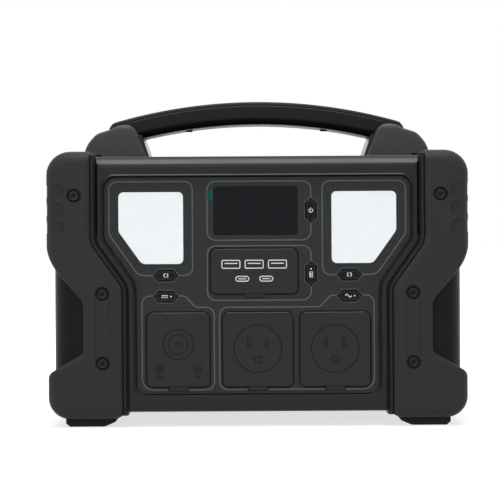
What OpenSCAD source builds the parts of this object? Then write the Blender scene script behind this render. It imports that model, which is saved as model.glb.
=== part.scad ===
// Portable power station with rubber side guards, a carry handle, two lamps, a display and four covered outlets.
// X runs to the right, Y to the rear and Z up. The origin lies on the ground, at the middle of the footprint.

/* [Overall] */
// Width over both side guards
overall_w = 300; // [296:1:330]
// Depth over the front and rear faces of the side guards
overall_d = 190; // [184:1:230]
// Height of the side guards, without the feet
guard_h = 190; // [188:1:210]
// Height of the rubber feet
foot_h = 6; // [4:0.5:12]

/* [Housing] */
// Wall thickness of the moulded housing
wall = 3; // [2:0.5:4]
// Radius of the four upright corners of the housing
housing_corner = 20; // [14:1:26]
// Radius of the long corners of the housing, seen from the front
housing_edge = 13; // [6:1:14]
// Height of the frame above the front panel
top_bar = 14.3; // [12:0.1:18]
// Height of the frame below the front panel
bottom_bar = 12.8; // [11:0.1:18]
// Distance from the seam of the side cover to the front panel
panel_margin = 6.4; // [5:0.2:9]
// Depth of the front panel behind the face of its frame
panel_recess = 2.1; // [1:0.1:3]
// Thickness of the front panel
panel_t = 3; // [2.4:0.2:4]
// Width of the visible seal round the front panel
seal_w = 0.8; // [0.5:0.1:1.2]

/* [Side guards] */
// Thickness of the rubber guard over the housing
guard_t = 4.5; // [3.5:0.25:7]
// Width of the guard's front leg beside the lamps
leg_upper_w = 31.4; // [28:0.2:36]
// Width of the guard below the kink, from its outer side
leg_lower_w = 54; // [50:0.5:58]
// Height of the lower kink above the guard's base
kink_low_z = 93.8; // [88:0.2:98]
// Height of the upper kink above the guard's base
kink_up_z = 125.4; // [120:0.2:132]
// Depth of the waist, from the guard's outer side
waist_in = 26.2; // [18:0.2:28]
// Lower end of the straight part of the waist
waist_low_z = 46.8; // [42:0.2:54]
// Upper end of the straight part of the waist
waist_high_z = 82.8; // [80:0.2:90]
// Radius of the upper outer corner of the guard
guard_top_r = 17; // [10:0.5:20]
// Radius of the lower outer corner of the guard
guard_low_r = 15; // [10:0.5:20]
// Width of the raised rim beside the guard
rim_w = 3; // [2:0.2:3.6]
// Height of the raised rim over the housing
rim_h = 2.5; // [1.5:0.1:3.2]

/* [Covers] */
// Width of the cover over the twelve volt outlets
dc_cover_w = 44.8; // [42:0.1:46]
// Gap between the twelve volt cover and the first mains outlet cover
dc_cover_gap = 9.1; // [7:0.1:12]
// Height of the three lower covers
cover_h = 53; // [48:0.5:56]
// Height of the small port cover in the middle
usb_cover_h = 32; // [30:0.5:33]
// Gap between the two mains outlet covers
ac_cover_gap = 4.9; // [3.5:0.1:5]
// Radius of the cover corners
cover_r = 5; // [3:0.5:6]
// How far a cover stands out of the front panel
cover_proud = 0.8; // [0.4:0.1:1.5]
// Largest opening angle of the lower covers, in degrees
cover_open = 115; // [90:1:118]
// Width of the hinge strap of a cover
strap_w = 13; // [8:1:18]

/* [Outlets] */
// Inner radius of the twelve volt vehicle socket
vehicle_r = 10.5; // [10:0.1:11]
// Depth of the twelve volt vehicle socket
vehicle_depth = 38; // [30:1:40]
// Inner radius of the two round jacks
jack_r = 2.8; // [2.6:0.1:3.2]
// Radius of the centre pin of the round jacks
jack_pin_r = 1.05; // [0.8:0.05:1.3]
// Radius of the round face of a mains outlet
mains_r = 16.8; // [16:0.1:17.5]
// Distance between the two blades of a mains plug
mains_pitch = 12.7; // [12:0.1:13]

/* [Controls] */
// Length of a push button
button_l = 14.6; // [11:0.1:15]
// Height of a push button
button_h = 5.8; // [4:0.1:6]
// Travel of a push button
button_travel = 0.5; // [0.3:0.1:0.8]
// Width of the display window
display_w = 59.3; // [54:0.1:60]
// Distance from a lamp lens to the edge of the front panel
lamp_side_gap = 10.2; // [8:0.2:16]
// Distance from a lamp lens to the area of the display
lamp_display_gap = 15.9; // [14:0.1:20]
// Distance from the raised outline to a lamp lens above and below it
lamp_trim_gap = 7.5; // [6.5:0.1:12]

/* [Handle] */
// Room for the fingers below the middle of the grip
finger_gap = 28; // [24:1:40]
// Height of the grip, with its cap
grip_h = 16.8; // [14:0.2:20]
// Depth of the grip, front to rear
grip_d = 36; // [30:1:40]
// Rise of the grip from its ends to its middle
grip_rise = 16.4; // [12:0.1:18]
// Depth of a handle mount, front to rear
mount_d = 64; // [56:1:72]

/* [Cooling and battery] */
// Side of a square cooling fan
fan_side = 60; // [50:1:62]
// Thickness of a cooling fan
fan_t = 15; // [10:1:20]
// Radius of a battery cell
cell_r = 9.2; // [8:0.1:9.4]
// Length of a battery cell
cell_l = 65; // [60:1:66]

/* [Hidden] */
$fn = 48;

// Arc steps on a rounded corner, clearances and small gaps
steps = 8;
fit = 0.2;
seam_gap = 0.4;
thread_fit = 0.05;
seat = 0.1;
seam_groove = 1.5;
big = 500;

// Half sizes and the main levels, all measured from the guard's base
half_w = overall_w / 2;
half_d = overall_d / 2;
house_w = half_w - guard_t;
house_d = half_d - guard_t;
house_low = guard_t;
house_top = guard_h - guard_t;
lower_lobe_in = 1;
rim_y = house_d + rim_h;
split_y = house_d - 28;

// The seam between the shells and the side covers
seam_up_x = half_w - leg_upper_w - rim_w - seam_gap;
seam_low_x = half_w - leg_lower_w - rim_w - seam_gap;
kink_turn = atan((seam_up_x - seam_low_x) / (kink_up_z - kink_low_z));
kink_r = 14;

// Front panel levels
panel_y = house_d - panel_recess;
panel_back = panel_y - panel_t;
panel_low = house_low + bottom_bar;
panel_high = house_top - top_bar;
ledge = 3;
ledge_t = 2;
bead_w = 1.2;
bead_h = 0.7;

// Raised outlines on the front panel
trim_w = 0.9;
trim_h = 0.25;
trim_top_gap = 3;
trim_side_gap = 3.4;
trim_r = 5.5;
trim_high = panel_high - trim_top_gap;
mid_x = 1.2;
display_side_gap = 4.6;
display_button_gap = 9.7;
centre_half_w = (display_w + display_side_gap + display_button_gap) / 2;
trim_gap = 4;
row_trim_low = panel_low + 3;
row_trim_mid = row_trim_low + cover_h + 5.4;
row_trim_high = row_trim_mid + 7.8;
usb_trim_low = row_trim_mid + 4.9;
usb_trim_gap = 2.1;
usb_strap_gap = 4.6;
usb_trim_high = usb_trim_low + usb_cover_h + usb_trim_gap + usb_strap_gap;
display_trim_low = usb_trim_high + trim_gap;
display_trim_gap = 3.95;
display_h = trim_high - display_trim_low - 2 * display_trim_gap;
lamp_trim_low = row_trim_high + 15;
lamp_trim_in = centre_half_w + 9.1;

// Covers, their pockets and the wells behind them
cover_t = 1.9;
cover_back = panel_y + cover_proud - cover_t;
pocket_depth = panel_y - cover_back + seat;
pocket_gap = 0.9;
well_in = 4;
plug_gap = 0.5;
plug_t = 1.4;
plug_l = 3.2;
well_back = panel_back - 5;
row_low = panel_low + 4.9;
row_z = row_low + cover_h / 2;
row_side = 6.4;
row_shift = 0.8;
row_x = seam_low_x - panel_margin - row_side;
ac_cover_w = (2 * row_x - row_shift - dc_cover_w - dc_cover_gap - ac_cover_gap) / 2;
dc_x = row_shift - row_x + dc_cover_w / 2;
ac_right_x = row_x - ac_cover_w / 2;
ac_left_x = ac_right_x - ac_cover_w - ac_cover_gap;
usb_side_gap = 2.2;
usb_button_gap = 9.4;
usb_cover_w = 2 * centre_half_w - usb_side_gap - usb_button_gap;
usb_x = mid_x - centre_half_w + usb_side_gap + usb_cover_w / 2;
usb_z = usb_trim_high - usb_trim_gap - usb_cover_h / 2;
strap_l = 1.7;
strap_t = 0.9;
bead_r = 0.9;
hinge_y = panel_y + 0.5;
vehicle_z = row_low + 30.3;
jack_z = row_low + 13;
jack_lip = 1.9;
jack_dx = dc_cover_w / 2 - well_in - jack_r - jack_lip - 0.3;

// Lamps and display
lamp_in_x = centre_half_w + lamp_display_gap;
lamp_x = seam_up_x - panel_margin - lamp_side_gap;
lamp_w = lamp_x - lamp_in_x;
lamp_slope_in = 1.2;
lamp_low = lamp_trim_low + lamp_trim_gap + 0.7;
lamp_h = trim_high - lamp_trim_gap - lamp_low;
lamp_y = panel_y + 0.3;
display_x = mid_x - centre_half_w + display_side_gap + display_w / 2;
display_z = (trim_high + display_trim_low) / 2;
tray_t = 1.5;
tray_depth = 11;
led_side = 3;
led_pitch = 9;
led_in = 7.5;

// Buttons: place, and whether the button stands upright
button_x = mid_x + centre_half_w;
lamp_button_x = (lamp_in_x + lamp_x) / 2 - 10.45;
row_button_x = seam_low_x - panel_margin - 21;
flange = 1.1;
flange_t = 1;
button_y = panel_y + 0.2;
recess_t = 0.9;
plunger_gap = button_travel + 0.2;
stem_l = 1.4;

// Handle, with the arch centre straight below the middle of the grip
grip_top = house_top + finger_gap + grip_h;
cap_t = 2.6;
mount_base = guard_h + 0.3;
mount_w = 49;
mount_h = 21.9;
mount_shoulder_h = 15.8;
mount_in_x = seam_up_x - 35.9;
mount_skirt = 2.3;
mount_edge_r = 5;
mount_screw_x = mount_in_x + 22.2;
grip_end_x = mount_in_x + 31.7;
arch_r = (grip_end_x * grip_end_x + grip_rise * grip_rise) / (2 * grip_rise);
arch_z = grip_top - arch_r;
grip_screw_x = grip_end_x - 60;
grip_sink = 3;

// Screws
screw_r = 1.8;
head_r = 3.7;
head_h = 2.6;
sink_r = 4.8;
sink_h = 3;
screw_l = 14;
upper_screw_in = 20.3;
upper_screw_down = 31.7;
lower_screw_z = [39.5, 88.7];
leg_x = half_w - (waist_in + leg_lower_w) / 2;

// Cooling and battery
vent_z = (waist_low_z + waist_high_z) / 2 + 2;
vent_r = 30;
fan_x = house_w - wall - seat;
shaft_r = 1.5;
rotor_gap = 0.05;
rotor_r = fan_side / 2 - 2.5;
hub_r = 11;
cell_pitch = 2 * cell_r + 1.2;
cells_across = 8;
cells_up = 5;
holder_t = 6;
holder_w = cells_across * cell_pitch + 6;
holder_h = cells_up * cell_pitch + 6;
pack_y = 4;
pack_z = house_low + wall + seat;
board_t = 1.6;
inverter_z = pack_z + holder_h + 6;

// ---- outlines ----

function unit(v) = v / norm(v);

function corner(a, b, c, r, n) =
    r <= 0.01 ? [b] :
    let (
        u = unit(a - b),
        v = unit(c - b),
        half = acos(u * v) / 2,
        t = r / tan(half),
        middle = b + unit(u + v) * r / sin(half),
        s = b + u * t - middle,
        e = b + v * t - middle,
        from = atan2(s.y, s.x),
        sweep = ((atan2(e.y, e.x) - from + 540) % 360) - 180
    )
    [for (i = [0:n]) middle + r * [cos(from + sweep * i / n), sin(from + sweep * i / n)]];

// An outline with rounded corners, from corners given as [x, y, radius]
function rounded(p, n = steps) = [
    for (i = [0:len(p) - 1])
    let (a = p[(i + len(p) - 1) % len(p)], b = p[i], c = p[(i + 1) % len(p)])
    each corner([a[0], a[1]], [b[0], b[1]], [c[0], c[1]], b[2], n)
];

function mirrored(p) = [for (i = [len(p) - 1:-1:0]) [-p[i][0], p[i][1], p[i][2]]];

// Right-hand corners of the area inside the seam, moved inwards by d
function seam_half(d, low, high, r_low, r_high) =
    let (lift = d * tan(kink_turn / 2))
    [
        [seam_low_x - d, low, r_low],
        [seam_low_x - d, kink_low_z + lift, kink_r + d],
        [seam_up_x - d, kink_up_z + lift, max(kink_r - d, 2)],
        [seam_up_x - d, high, r_high]
    ];

function seam_area(d, low, high, r_low = 0, r_high = 0) =
    let (right = seam_half(d, low, high, r_low, r_high))
    rounded(concat(right, mirrored(right)));

// The sloping line beside the panel, moved inwards by d, at height z
function slope_x(d, z) =
    let (lift = d * tan(kink_turn / 2))
    seam_low_x - d + (z - kink_low_z - lift) * tan(kink_turn);

function slope_z(d, x) = kink_low_z + d * tan(kink_turn / 2) + (x - seam_low_x + d) / tan(kink_turn);

// A lamp outline on the right-hand side
function lamp_area(in_x, out_x, low, high, r) =
    let (d = seam_up_x - out_x + lamp_slope_in)
    rounded([
        [in_x, low, r],
        [slope_x(d, low), low, r * 1.6],
        [out_x, slope_z(d, out_x), r * 1.6],
        [out_x, high, r],
        [in_x, high, r]
    ]);

function box_area(x0, x1, z0, z1, r) =
    rounded([[x0, z0, r], [x1, z0, r], [x1, z1, r], [x0, z1, r]]);

// An upright or lying capsule with pointed ends
function pointed(x, z, l, h, upright) =
    let (
        tip = h / 3,
        p = [
            [-l / 2, 0, 1], [-l / 2 + tip, -h / 2, 1], [l / 2 - tip, -h / 2, 1],
            [l / 2, 0, 1], [l / 2 - tip, h / 2, 1], [-l / 2 + tip, h / 2, 1]
        ]
    )
    [for (q = rounded(p, 3)) upright ? [x - q[1], z + q[0]] : [x + q[0], z + q[1]]];

// ---- placing ----

module lift() translate([0, 0, foot_h]) children();

// Extrudes an outline of X and Z from y0 to y1
module slab(points, y0, y1)
    translate([0, y1, 0]) rotate([90, 0, 0]) linear_extrude(y1 - y0) polygon(points);

// Extrudes the 2D children, drawn in X and Z, from y0 to y1
module facing(y0, y1)
    translate([0, y1, 0]) rotate([90, 0, 0]) linear_extrude(y1 - y0) children();

// Extrudes the 2D children, drawn in Y and Z, from x0 to x1
module sideways(x0, x1)
    translate([x0, 0, 0]) rotate([90, 0, 90]) linear_extrude(x1 - x0) children();

// A cylinder along Y from y0 to y1
module rod_y(x, z, r, y0, y1, sides = $fn)
    translate([x, y1, z]) rotate([90, 0, 0]) cylinder(r = r, h = y1 - y0, $fn = sides);

module rod_x(y, z, r, x0, x1)
    translate([x0, y, z]) rotate([0, 90, 0]) cylinder(r = r, h = x1 - x0);

// A box between two corners
module block(a, b) translate(a) cube(b - a);

// A rectangle with round corners about the origin
module round_rect(w, h, r) {
    square([w - 2 * r, h], center = true);
    square([w, h - 2 * r], center = true);
    for (x = [-1, 1], y = [-1, 1])
        translate([x * (w / 2 - r), y * (h / 2 - r)]) circle(r);
}

// A stadium between two points, l long over the round ends
module stadium(l, h) {
    square([l - h, h], center = true);
    for (x = [-1, 1]) translate([x * (l - h) / 2, 0]) circle(h / 2);
}

module turned(upright) rotate(upright ? 90 : 0) children();

// Children as drawn on the right, or mirrored to the left
module on_side(side) mirror([side < 0 ? 1 : 0, 0, 0]) children();

// ---- housing ----

// Slots in the rear wall, in the area that stands back
rear_slot_in = 18;
rear_slot_pitch = 12;
rear_slot_h = 3;

// Section of the housing from front to rear, grown by g
module house_section(g = 0) {
    low = house_low - g;
    high = house_top + g;
    y = house_d + g;
    roll_y = house_d - 4.2 + g;
    step_z = house_top - 5 + g;
    polygon(rounded([
        [-y, low, max(5 + g, 1)], [y, low, max(5 + g, 1)],
        [y, step_z, 3.4], [roll_y, step_z + 0.4, 0.4], [roll_y, high, 4],
        [-roll_y, high, 4], [-roll_y, step_z + 0.4, 0.4], [-y, step_z, 3.4]
    ]));
}

module house_plan(g = 0)
    round_rect(2 * (house_w + g), 2 * (house_d + g), housing_corner + g);

module house_front(g = 0)
    translate([0, (house_low + house_top) / 2])
        round_rect(2 * (house_w + g), house_top - house_low + 2 * g, housing_edge + g);

// The whole housing as a solid, grown by g
module house(g = 0)
    intersection() {
        sideways(-half_w - big / 5, half_w + big / 5) house_section(g);
        translate([0, 0, -big / 5]) linear_extrude(big) house_plan(g);
        facing(-big / 2, big / 2) house_front(g);
    }

// The hollow inside the housing
module house_hollow()
    intersection() {
        block([-house_w + wall, -house_d + panel_recess + panel_t + ledge_t, house_low + wall],
              [house_w - wall, house_d - wall, house_top - wall]);
        translate([0, 0, -big / 5]) linear_extrude(big) house_plan(-wall);
        facing(-big / 2, big / 2) house_front(-wall);
    }

// A middle part of the housing between y0 and y1, without its hollow
module middle(y0, y1)
    difference() {
        intersection() {
            sideways(-half_w, half_w) house_section();
            union() {
                slab(seam_area(seat, -1, guard_h), max(y0, seam_groove - house_d), min(y1, house_d - seam_groove));
                slab(seam_area(seam_gap, -1, guard_h), y0, y1);
            }
        }
        house_hollow();
    }

// A screw boss in a corner of a shell, with a rib to the nearest wall
module shell_boss(s, y0, y1) {
    rod_y(s[0], s[1], 4, y0, y1);
    block([s[0] - 1.5, y0, s[1] > 90 ? s[1] : house_low + 1],
          [s[0] + 1.5, y1, s[1] > 90 ? house_top - 1 : s[1]]);
}

shell_screws = [for (x = [-1, 1], up = [0, 1])
    [x * (up == 0 ? seam_low_x - 5.6 : seam_up_x - 14), up == 0 ? house_low + 7 : house_top - 13.5]];

module front_shell() color("#33322f") lift()
    difference() {
        union() {
            middle(-half_d, split_y);
            difference() {
                slab(seam_area(panel_margin - seal_w - bead_w, panel_low - seal_w - bead_w,
                               panel_high + seal_w + bead_w, 9, 9), -house_d - bead_h, -house_d + 1);
                slab(seam_area(panel_margin - seal_w, panel_low - seal_w, panel_high + seal_w, 7, 8),
                     -half_d, -house_d + 2);
            }
            for (s = shell_screws) shell_boss(s, split_y - 16, split_y);
        }
        slab(seam_area(panel_margin - seal_w, panel_low - seal_w, panel_high + seal_w, 7, 8),
             -half_d, -panel_back);
        slab(seam_area(panel_margin + ledge, panel_low + ledge, panel_high - ledge, 6, 6),
             -half_d, -panel_back + ledge_t + 1);
        for (s = shell_screws) rod_y(s[0], s[1], screw_r + thread_fit, split_y - 14, half_d);
        mount_screw_holes(fit);
    }

module rear_shell() color("#33322f") lift()
    difference() {
        union() {
            middle(split_y + seat, half_d);
            for (s = shell_screws) shell_boss(s, split_y + seat, house_d - 1);
        }
        slab(seam_area(panel_margin, panel_low, panel_high, 8, 8), house_d - 1.2, half_d);
        for (z = [panel_low + rear_slot_in:rear_slot_pitch:kink_low_z])
            facing(house_d - wall - 1, half_d)
                translate([0, z]) stadium(2 * (seam_low_x - panel_margin - rear_slot_in) - 16, rear_slot_h);
        for (s = shell_screws) {
            rod_y(s[0], s[1], screw_r + fit, 0, half_d);
            rod_y(s[0], s[1], head_r + fit, house_d - 4, half_d);
        }
    }

// Screws that hold the two shells together from the rear
module housing_screws() color("#1d1d1d") lift()
    for (s = shell_screws) translate([s[0], house_d - 4, s[1]]) screw(house_d - 4 - split_y + 12);

// A cap screw with its head towards +Y and the underside of the head at the origin
module screw(l)
    difference() {
        union() {
            rod_y(0, 0, head_r, 0, head_h);
            rod_y(0, 0, screw_r, -l, seat);
        }
        rod_y(0, 0, 1.7, head_h - 1.6, head_h + 1, 6);
    }

// The raised rim of a side cover, along the seam
module cover_rim()
    difference() {
        intersection() {
            sideways(0, half_w) house_section(rim_h);
            slab(seam_area(-rim_w, -1, guard_h + 1), -half_d, half_d);
        }
        slab(seam_area(0, -2, guard_h + 2), -half_d - 1, half_d + 1);
        block([-half_w, -half_d, -1], [0, half_d, guard_h + 1]);
        sideways(-1, half_w) house_section(-wall);
    }

// A side wall of the housing outside the seam, with its raised rim, vent and screw bosses
module side_cover(side) color("#262728") lift() on_side(side)
    difference() {
        union() {
            difference() {
                house();
                slab(seam_area(0, -2, guard_h + 2), -half_d - 1, half_d + 1);
                block([-half_w - 1, -half_d - 1, -1], [0, half_d + 1, guard_h + 1]);
                house_hollow_side();
            }
            cover_rim();
            for (s = guard_screw_places, e = [-1, 1])
                rod_y(s[0], s[1], 4.2, e > 0 ? house_d - 15 : 1 - house_d, e > 0 ? house_d - 1 : 15 - house_d);
        }
        vent_slots();
        guard_screw_holes(screw_r + thread_fit);
    }

// The hollow of a side cover reaches its own front and rear walls
module house_hollow_side()
    intersection() {
        block([0, -house_d + wall, house_low + wall], [house_w - wall, house_d - wall, house_top - wall]);
        translate([0, 0, -big / 5]) linear_extrude(big) house_plan(-wall);
        facing(-big / 2, big / 2) house_front(-wall);
    }

// Louvres in front of a fan, cut to a circle
module vent_slots()
    intersection() {
        for (i = [-4:4])
            block([house_w - wall - 1, -vent_r, vent_z + 6.4 * i - 1.6],
                  [house_w + 1, vent_r, vent_z + 6.4 * i + 1.6]);
        difference() {
            rod_x(0, vent_z, vent_r, house_w - wall - 2, house_w + 2);
            block([house_w - wall - 2, -1.5, 0], [house_w + 2, 1.5, guard_h]);
        }
    }

guard_screw_places = concat(
    [[half_w - upper_screw_in, guard_h - upper_screw_down]],
    [for (z = lower_screw_z) [leg_x, z]]
);

module guard_screw_holes(r)
    for (s = guard_screw_places)
        rod_y(s[0], s[1], r, -half_d - 1, half_d + 1);

// Outline of a side guard, seen from the front, on the right-hand side
function guard_area() =
    let (
        gap = rim_w + seam_gap,
        drop = gap * tan(kink_turn / 2),
        in_low = seam_low_x + gap,
        in_up = seam_up_x + gap
    )
    rounded([
        [in_low, 2.4, 1],
        [in_low + 4.5, 0, 1],
        [half_w - lower_lobe_in, 0, guard_low_r],
        [half_w - lower_lobe_in, waist_low_z - 15, 6],
        [half_w - waist_in, waist_low_z, 5],
        [half_w - waist_in, waist_high_z, 10],
        [half_w, waist_high_z + waist_in * 1.18, 28],
        [half_w, guard_h, guard_top_r],
        [in_up, guard_h, 2],
        [in_up, kink_up_z - drop, kink_r + gap],
        [in_low, kink_low_z - drop, kink_r - gap]
    ]);

pocket_in = 13;
pocket_h = 8.2;
pocket_depth_g = 0.8;
pocket_side_l = 32;
pocket_z = [for (i = [0:2]) guard_h - 28.4 - 12.9 * i];

// Shallow finger pockets that wrap round the upright edges of a guard
module guard_pockets()
    difference() {
        for (z = pocket_z, s = [-1, 1])
            intersection() {
                facing(-half_d - 1, half_d + 1)
                    translate([half_w - pocket_in + big / 2, z]) stadium(big, pocket_h);
                sideways(0, half_w + 1)
                    translate([s * (half_d - pocket_side_l + big / 2), z]) stadium(big, pocket_h);
            }
        translate([0, 0, 0]) linear_extrude(guard_h)
            round_rect(2 * (half_w - pocket_depth_g), 2 * (half_d - pocket_depth_g), 10 - pocket_depth_g);
    }

module side_guard(side) color("#373735") lift() on_side(side)
    difference() {
        intersection() {
            slab(guard_area(), -half_d, half_d);
            linear_extrude(guard_h) round_rect(2 * half_w, 2 * half_d, 10);
            sideways(0, half_w) translate([0, guard_h / 2]) round_rect(2 * half_d, guard_h, 7);
        }
        house(fit + seat);
        guard_pockets();
        guard_screw_holes(screw_r + fit);
        for (s = guard_screw_places, e = [-1, 1])
            rod_y(s[0], s[1], sink_r, e > 0 ? half_d - sink_h : -half_d - 1,
                  e > 0 ? half_d + 1 : -half_d + sink_h);
        for (e = [-1, 1])
            block([leg_x - sink_r, e > 0 ? half_d - 0.4 : -half_d - 1, lower_screw_z[0]],
                  [leg_x + sink_r, e > 0 ? half_d + 1 : -half_d + 0.4, lower_screw_z[1]]);
        foot_holes();
    }

module guard_screws() color("#191919") lift()
    for (side = [-1, 1], s = guard_screw_places, e = [-1, 1])
        translate([side * s[0], e * (half_d - sink_h), s[1]])
            rotate([0, 0, e > 0 ? 0 : 180]) screw(screw_l);

// ---- feet ----

foot_out_x = 13.2;
foot_w = 36.3;
foot_d = 42;
foot_y = half_d - 9;
foot_x = half_w - foot_out_x - foot_w / 2;
foot_screw_l = 7;

// Section of a foot from side to side, with its outer side at +X
module foot(side, end) color("#222221")
    on_side(side) mirror([0, end < 0 ? 1 : 0, 0])
        difference() {
            intersection() {
                slab(rounded([
                    [foot_x - foot_w / 2 + 9, 0, 9], [foot_x + foot_w / 2 - 2.6, 0, 1],
                    [foot_x + foot_w / 2, 2.6, 1], [foot_x + foot_w / 2, foot_h - seat, 0],
                    [foot_x - foot_w / 2, foot_h - seat, 0], [foot_x - foot_w / 2 + 1, foot_h - 2.4, 1]
                ]), 0, half_d);
                sideways(0, half_w) polygon(rounded([
                    [foot_y - foot_d + 2.6, 0, 1], [foot_y - 2.6, 0, 1],
                    [foot_y, 2.6, 1], [foot_y, foot_h, 0],
                    [foot_y - foot_d, foot_h, 0], [foot_y - foot_d, 2.6, 1]
                ]));
            }
            translate([foot_x, foot_y - foot_d / 2, -1]) cylinder(r = screw_r + fit, h = foot_h + 2);
            translate([foot_x, foot_y - foot_d / 2, -1]) cylinder(r = head_r + fit, h = foot_h - 1.2);
        }

module foot_holes()
    for (e = [-1, 1])
        translate([foot_x, e * (foot_y - foot_d / 2), -1]) cylinder(r = screw_r + fit, h = foot_screw_l + 1);

module foot_screws() color("#191919")
    for (side = [-1, 1], e = [-1, 1])
        translate([side * foot_x, e * (foot_y - foot_d / 2), foot_h - 2.2])
            rotate([-90, 0, 0]) screw(4.6);

// ---- handle ----

// A ring segment of the arch: the 2D children are drawn with X as the radius and Y as the depth
module arch(end_x, radius)
    translate([0, 0, arch_z]) rotate([90, 0, 0]) rotate([0, 0, 90 - asin(end_x / radius)])
        rotate_extrude(angle = 2 * asin(end_x / radius), $fn = 180) children();

module handle_grip() color("#1f2120") lift()
    difference() {
        arch(grip_end_x, arch_r - grip_h / 2)
            translate([arch_r - (grip_h + cap_t) / 2, 0]) round_rect(grip_h - cap_t, grip_d, 5);
        for (x = [-1, 1]) translate([x * grip_screw_x, 0, 0]) {
            cylinder(r = 0.75 * screw_r + fit, h = big);
            translate([0, 0, house_top]) cylinder(r = 0.75 * head_r + fit, h = finger_gap + grip_sink);
        }
    }

module handle_cap() color("#3a3b39") lift()
    difference() {
        arch(grip_end_x + 1.5, arch_r - grip_h / 2)
            translate([arch_r - cap_t / 2 + seat / 2, 0]) round_rect(cap_t - seat, grip_d - 3, 1.1);
        for (x = [-1, 1]) translate([x * grip_screw_x, 0, 0])
            cylinder(r = 0.75 * screw_r + thread_fit, h = grip_top - 4);
    }

// Where the grip passes through a mount
module grip_channel()
    arch(grip_end_x + 3, arch_r - grip_h / 2)
        translate([arch_r - grip_h / 2 + 6, 0]) square([grip_h + 12 + 2 * fit, grip_d + 2 * fit], center = true);

// A mount reaches down to the housing between the side covers, and stands over the guard outside them
module handle_mount(side) color("#2a2b2a") lift() on_side(side)
    difference() {
        intersection() {
            slab(rounded([
                [mount_in_x - mount_skirt, house_top + seat, 0.5],
                [seam_up_x - seam_gap, house_top + seat, 0.5],
                [seam_up_x - seam_gap, mount_base, 0.3],
                [mount_in_x + mount_w, mount_base, 1],
                [mount_in_x + mount_w - 2, mount_base + 8, 6],
                [mount_in_x + mount_w - 9.6, mount_base + mount_shoulder_h, 12],
                [mount_in_x + 29, mount_base + mount_shoulder_h + 3.2, 5],
                [mount_in_x + 22, mount_base + mount_h + 0.4, 10],
                [mount_in_x + 12, mount_base + mount_h + 0.2, 9]
            ], 12), -mount_d / 2, mount_d / 2);
            sideways(0, half_w) translate([0, mount_base])
                round_rect(mount_d, 2 * mount_h + 3, mount_edge_r);
        }
        grip_channel();
        mount_screw_holes(thread_fit);
    }

mount_screw_y = 14;
mount_screw_l = 16;

module mount_screw_holes(gap)
    for (side = [-1, 1], e = [-1, 1])
        translate([side * mount_screw_x, e * mount_screw_y, house_top - wall - 1])
            cylinder(r = screw_r + gap, h = mount_screw_l);

module handle_screws() color("#191919") lift() {
    for (side = [-1, 1], e = [-1, 1])
        translate([side * mount_screw_x, e * mount_screw_y, house_top - wall - seat])
            rotate([-90, 0, 0]) screw(mount_screw_l - 4);
    for (x = [-1, 1])
        translate([x * grip_screw_x, 0, house_top + finger_gap + grip_sink - seat])
            scale(0.75) rotate([-90, 0, 0]) screw(12);
}

// ---- front panel ----

// The covers as [x, z, width, height, corner radius]
usb_place = [usb_x, usb_z, usb_cover_w, usb_cover_h, cover_r - 1];
dc_place = [dc_x, row_z, dc_cover_w, cover_h, cover_r];
ac_left_place = [ac_left_x, row_z, ac_cover_w, cover_h, cover_r];
ac_right_place = [ac_right_x, row_z, ac_cover_w, cover_h, cover_r];
places = [usb_place, dc_place, ac_left_place, ac_right_place];

// The outline of a cover, drawn in by d
function cover_area(c, d) =
    box_area(c[0] - c[2] / 2 + d, c[0] + c[2] / 2 - d, c[1] - c[3] / 2 + d, c[1] + c[3] / 2 - d, max(c[4] - d, 1.2));

function cover_low(c) = c[1] - c[3] / 2;

// The buttons as [x, z, upright]
power_place = [button_x, display_z, true];
usb_button_place = [button_x, usb_z - 1.9, true];
lamp_left_place = [-lamp_button_x, lamp_trim_low, false];
lamp_right_place = [lamp_button_x, lamp_trim_low, false];
dc_button_place = [-row_button_x, row_trim_high, false];
ac_button_place = [row_button_x, row_trim_high, false];
button_places = [power_place, usb_button_place, lamp_left_place, lamp_right_place, dc_button_place, ac_button_place];

function button_area(b, l, h) = pointed(b[0], b[1], l, h, b[2]);

function lens_area(d) =
    lamp_area(lamp_in_x + d, lamp_x - d, lamp_low + d, lamp_low + lamp_h - d, 3.5);

module front_panel() color("#3a3c40") lift()
    difference() {
        slab(seam_area(panel_margin, panel_low, panel_high, 6, 8), -panel_y, -panel_back);
        for (c = places) {
            slab(cover_area(c, -pocket_gap), -half_d, pocket_depth - panel_y);
            slab(cover_area(c, well_in), -half_d, 0);
            block([c[0] - strap_w / 2 - 0.6, -half_d, cover_low(c) - strap_l - bead_r - 0.4],
                  [c[0] + strap_w / 2 + 0.6, pocket_depth - panel_y, cover_low(c) + 2]);
        }
        for (s = [-1, 1]) on_side(s) slab(lens_area(-fit), -half_d, 0);
        slab(box_area(display_x - display_w / 2 - fit, display_x + display_w / 2 + fit,
                      display_z - display_h / 2 - fit, display_z + display_h / 2 + fit, 2.2), -half_d, 0);
        for (b = button_places) {
            slab(button_area(b, button_l + 2.8, button_h + 2), -half_d, recess_t - panel_y);
            slab(button_area(b, button_l + 0.4, button_h + 0.4), -half_d, 0);
        }
    }

module panel_seal() color("#141414") lift()
    difference() {
        slab(seam_area(panel_margin - seal_w + 0.05, panel_low - seal_w + 0.05, panel_high + seal_w - 0.05, 7, 8),
             0.4 - panel_y, -panel_back);
        slab(seam_area(panel_margin - 0.05, panel_low - 0.05, panel_high + 0.05, 6, 8), -half_d, 0);
    }

// ---- lamps and display ----

module lamp_lens(side) color("#f2f5f4") lift() on_side(side) {
    slab(lens_area(0), -lamp_y, seat - panel_back);
    slab(lens_area(-1.4), seat - panel_back, seat + 1 - panel_back);
}

lamp_floor = seat + 1 - panel_back + tray_depth;

module lamp_tray(side) color("#d8d8d6") lift() on_side(side)
    difference() {
        slab(lens_area(-1.4), seat + 1 - panel_back + seat, lamp_floor);
        slab(lens_area(0.4), -half_d, lamp_floor - tray_t);
    }

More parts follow.
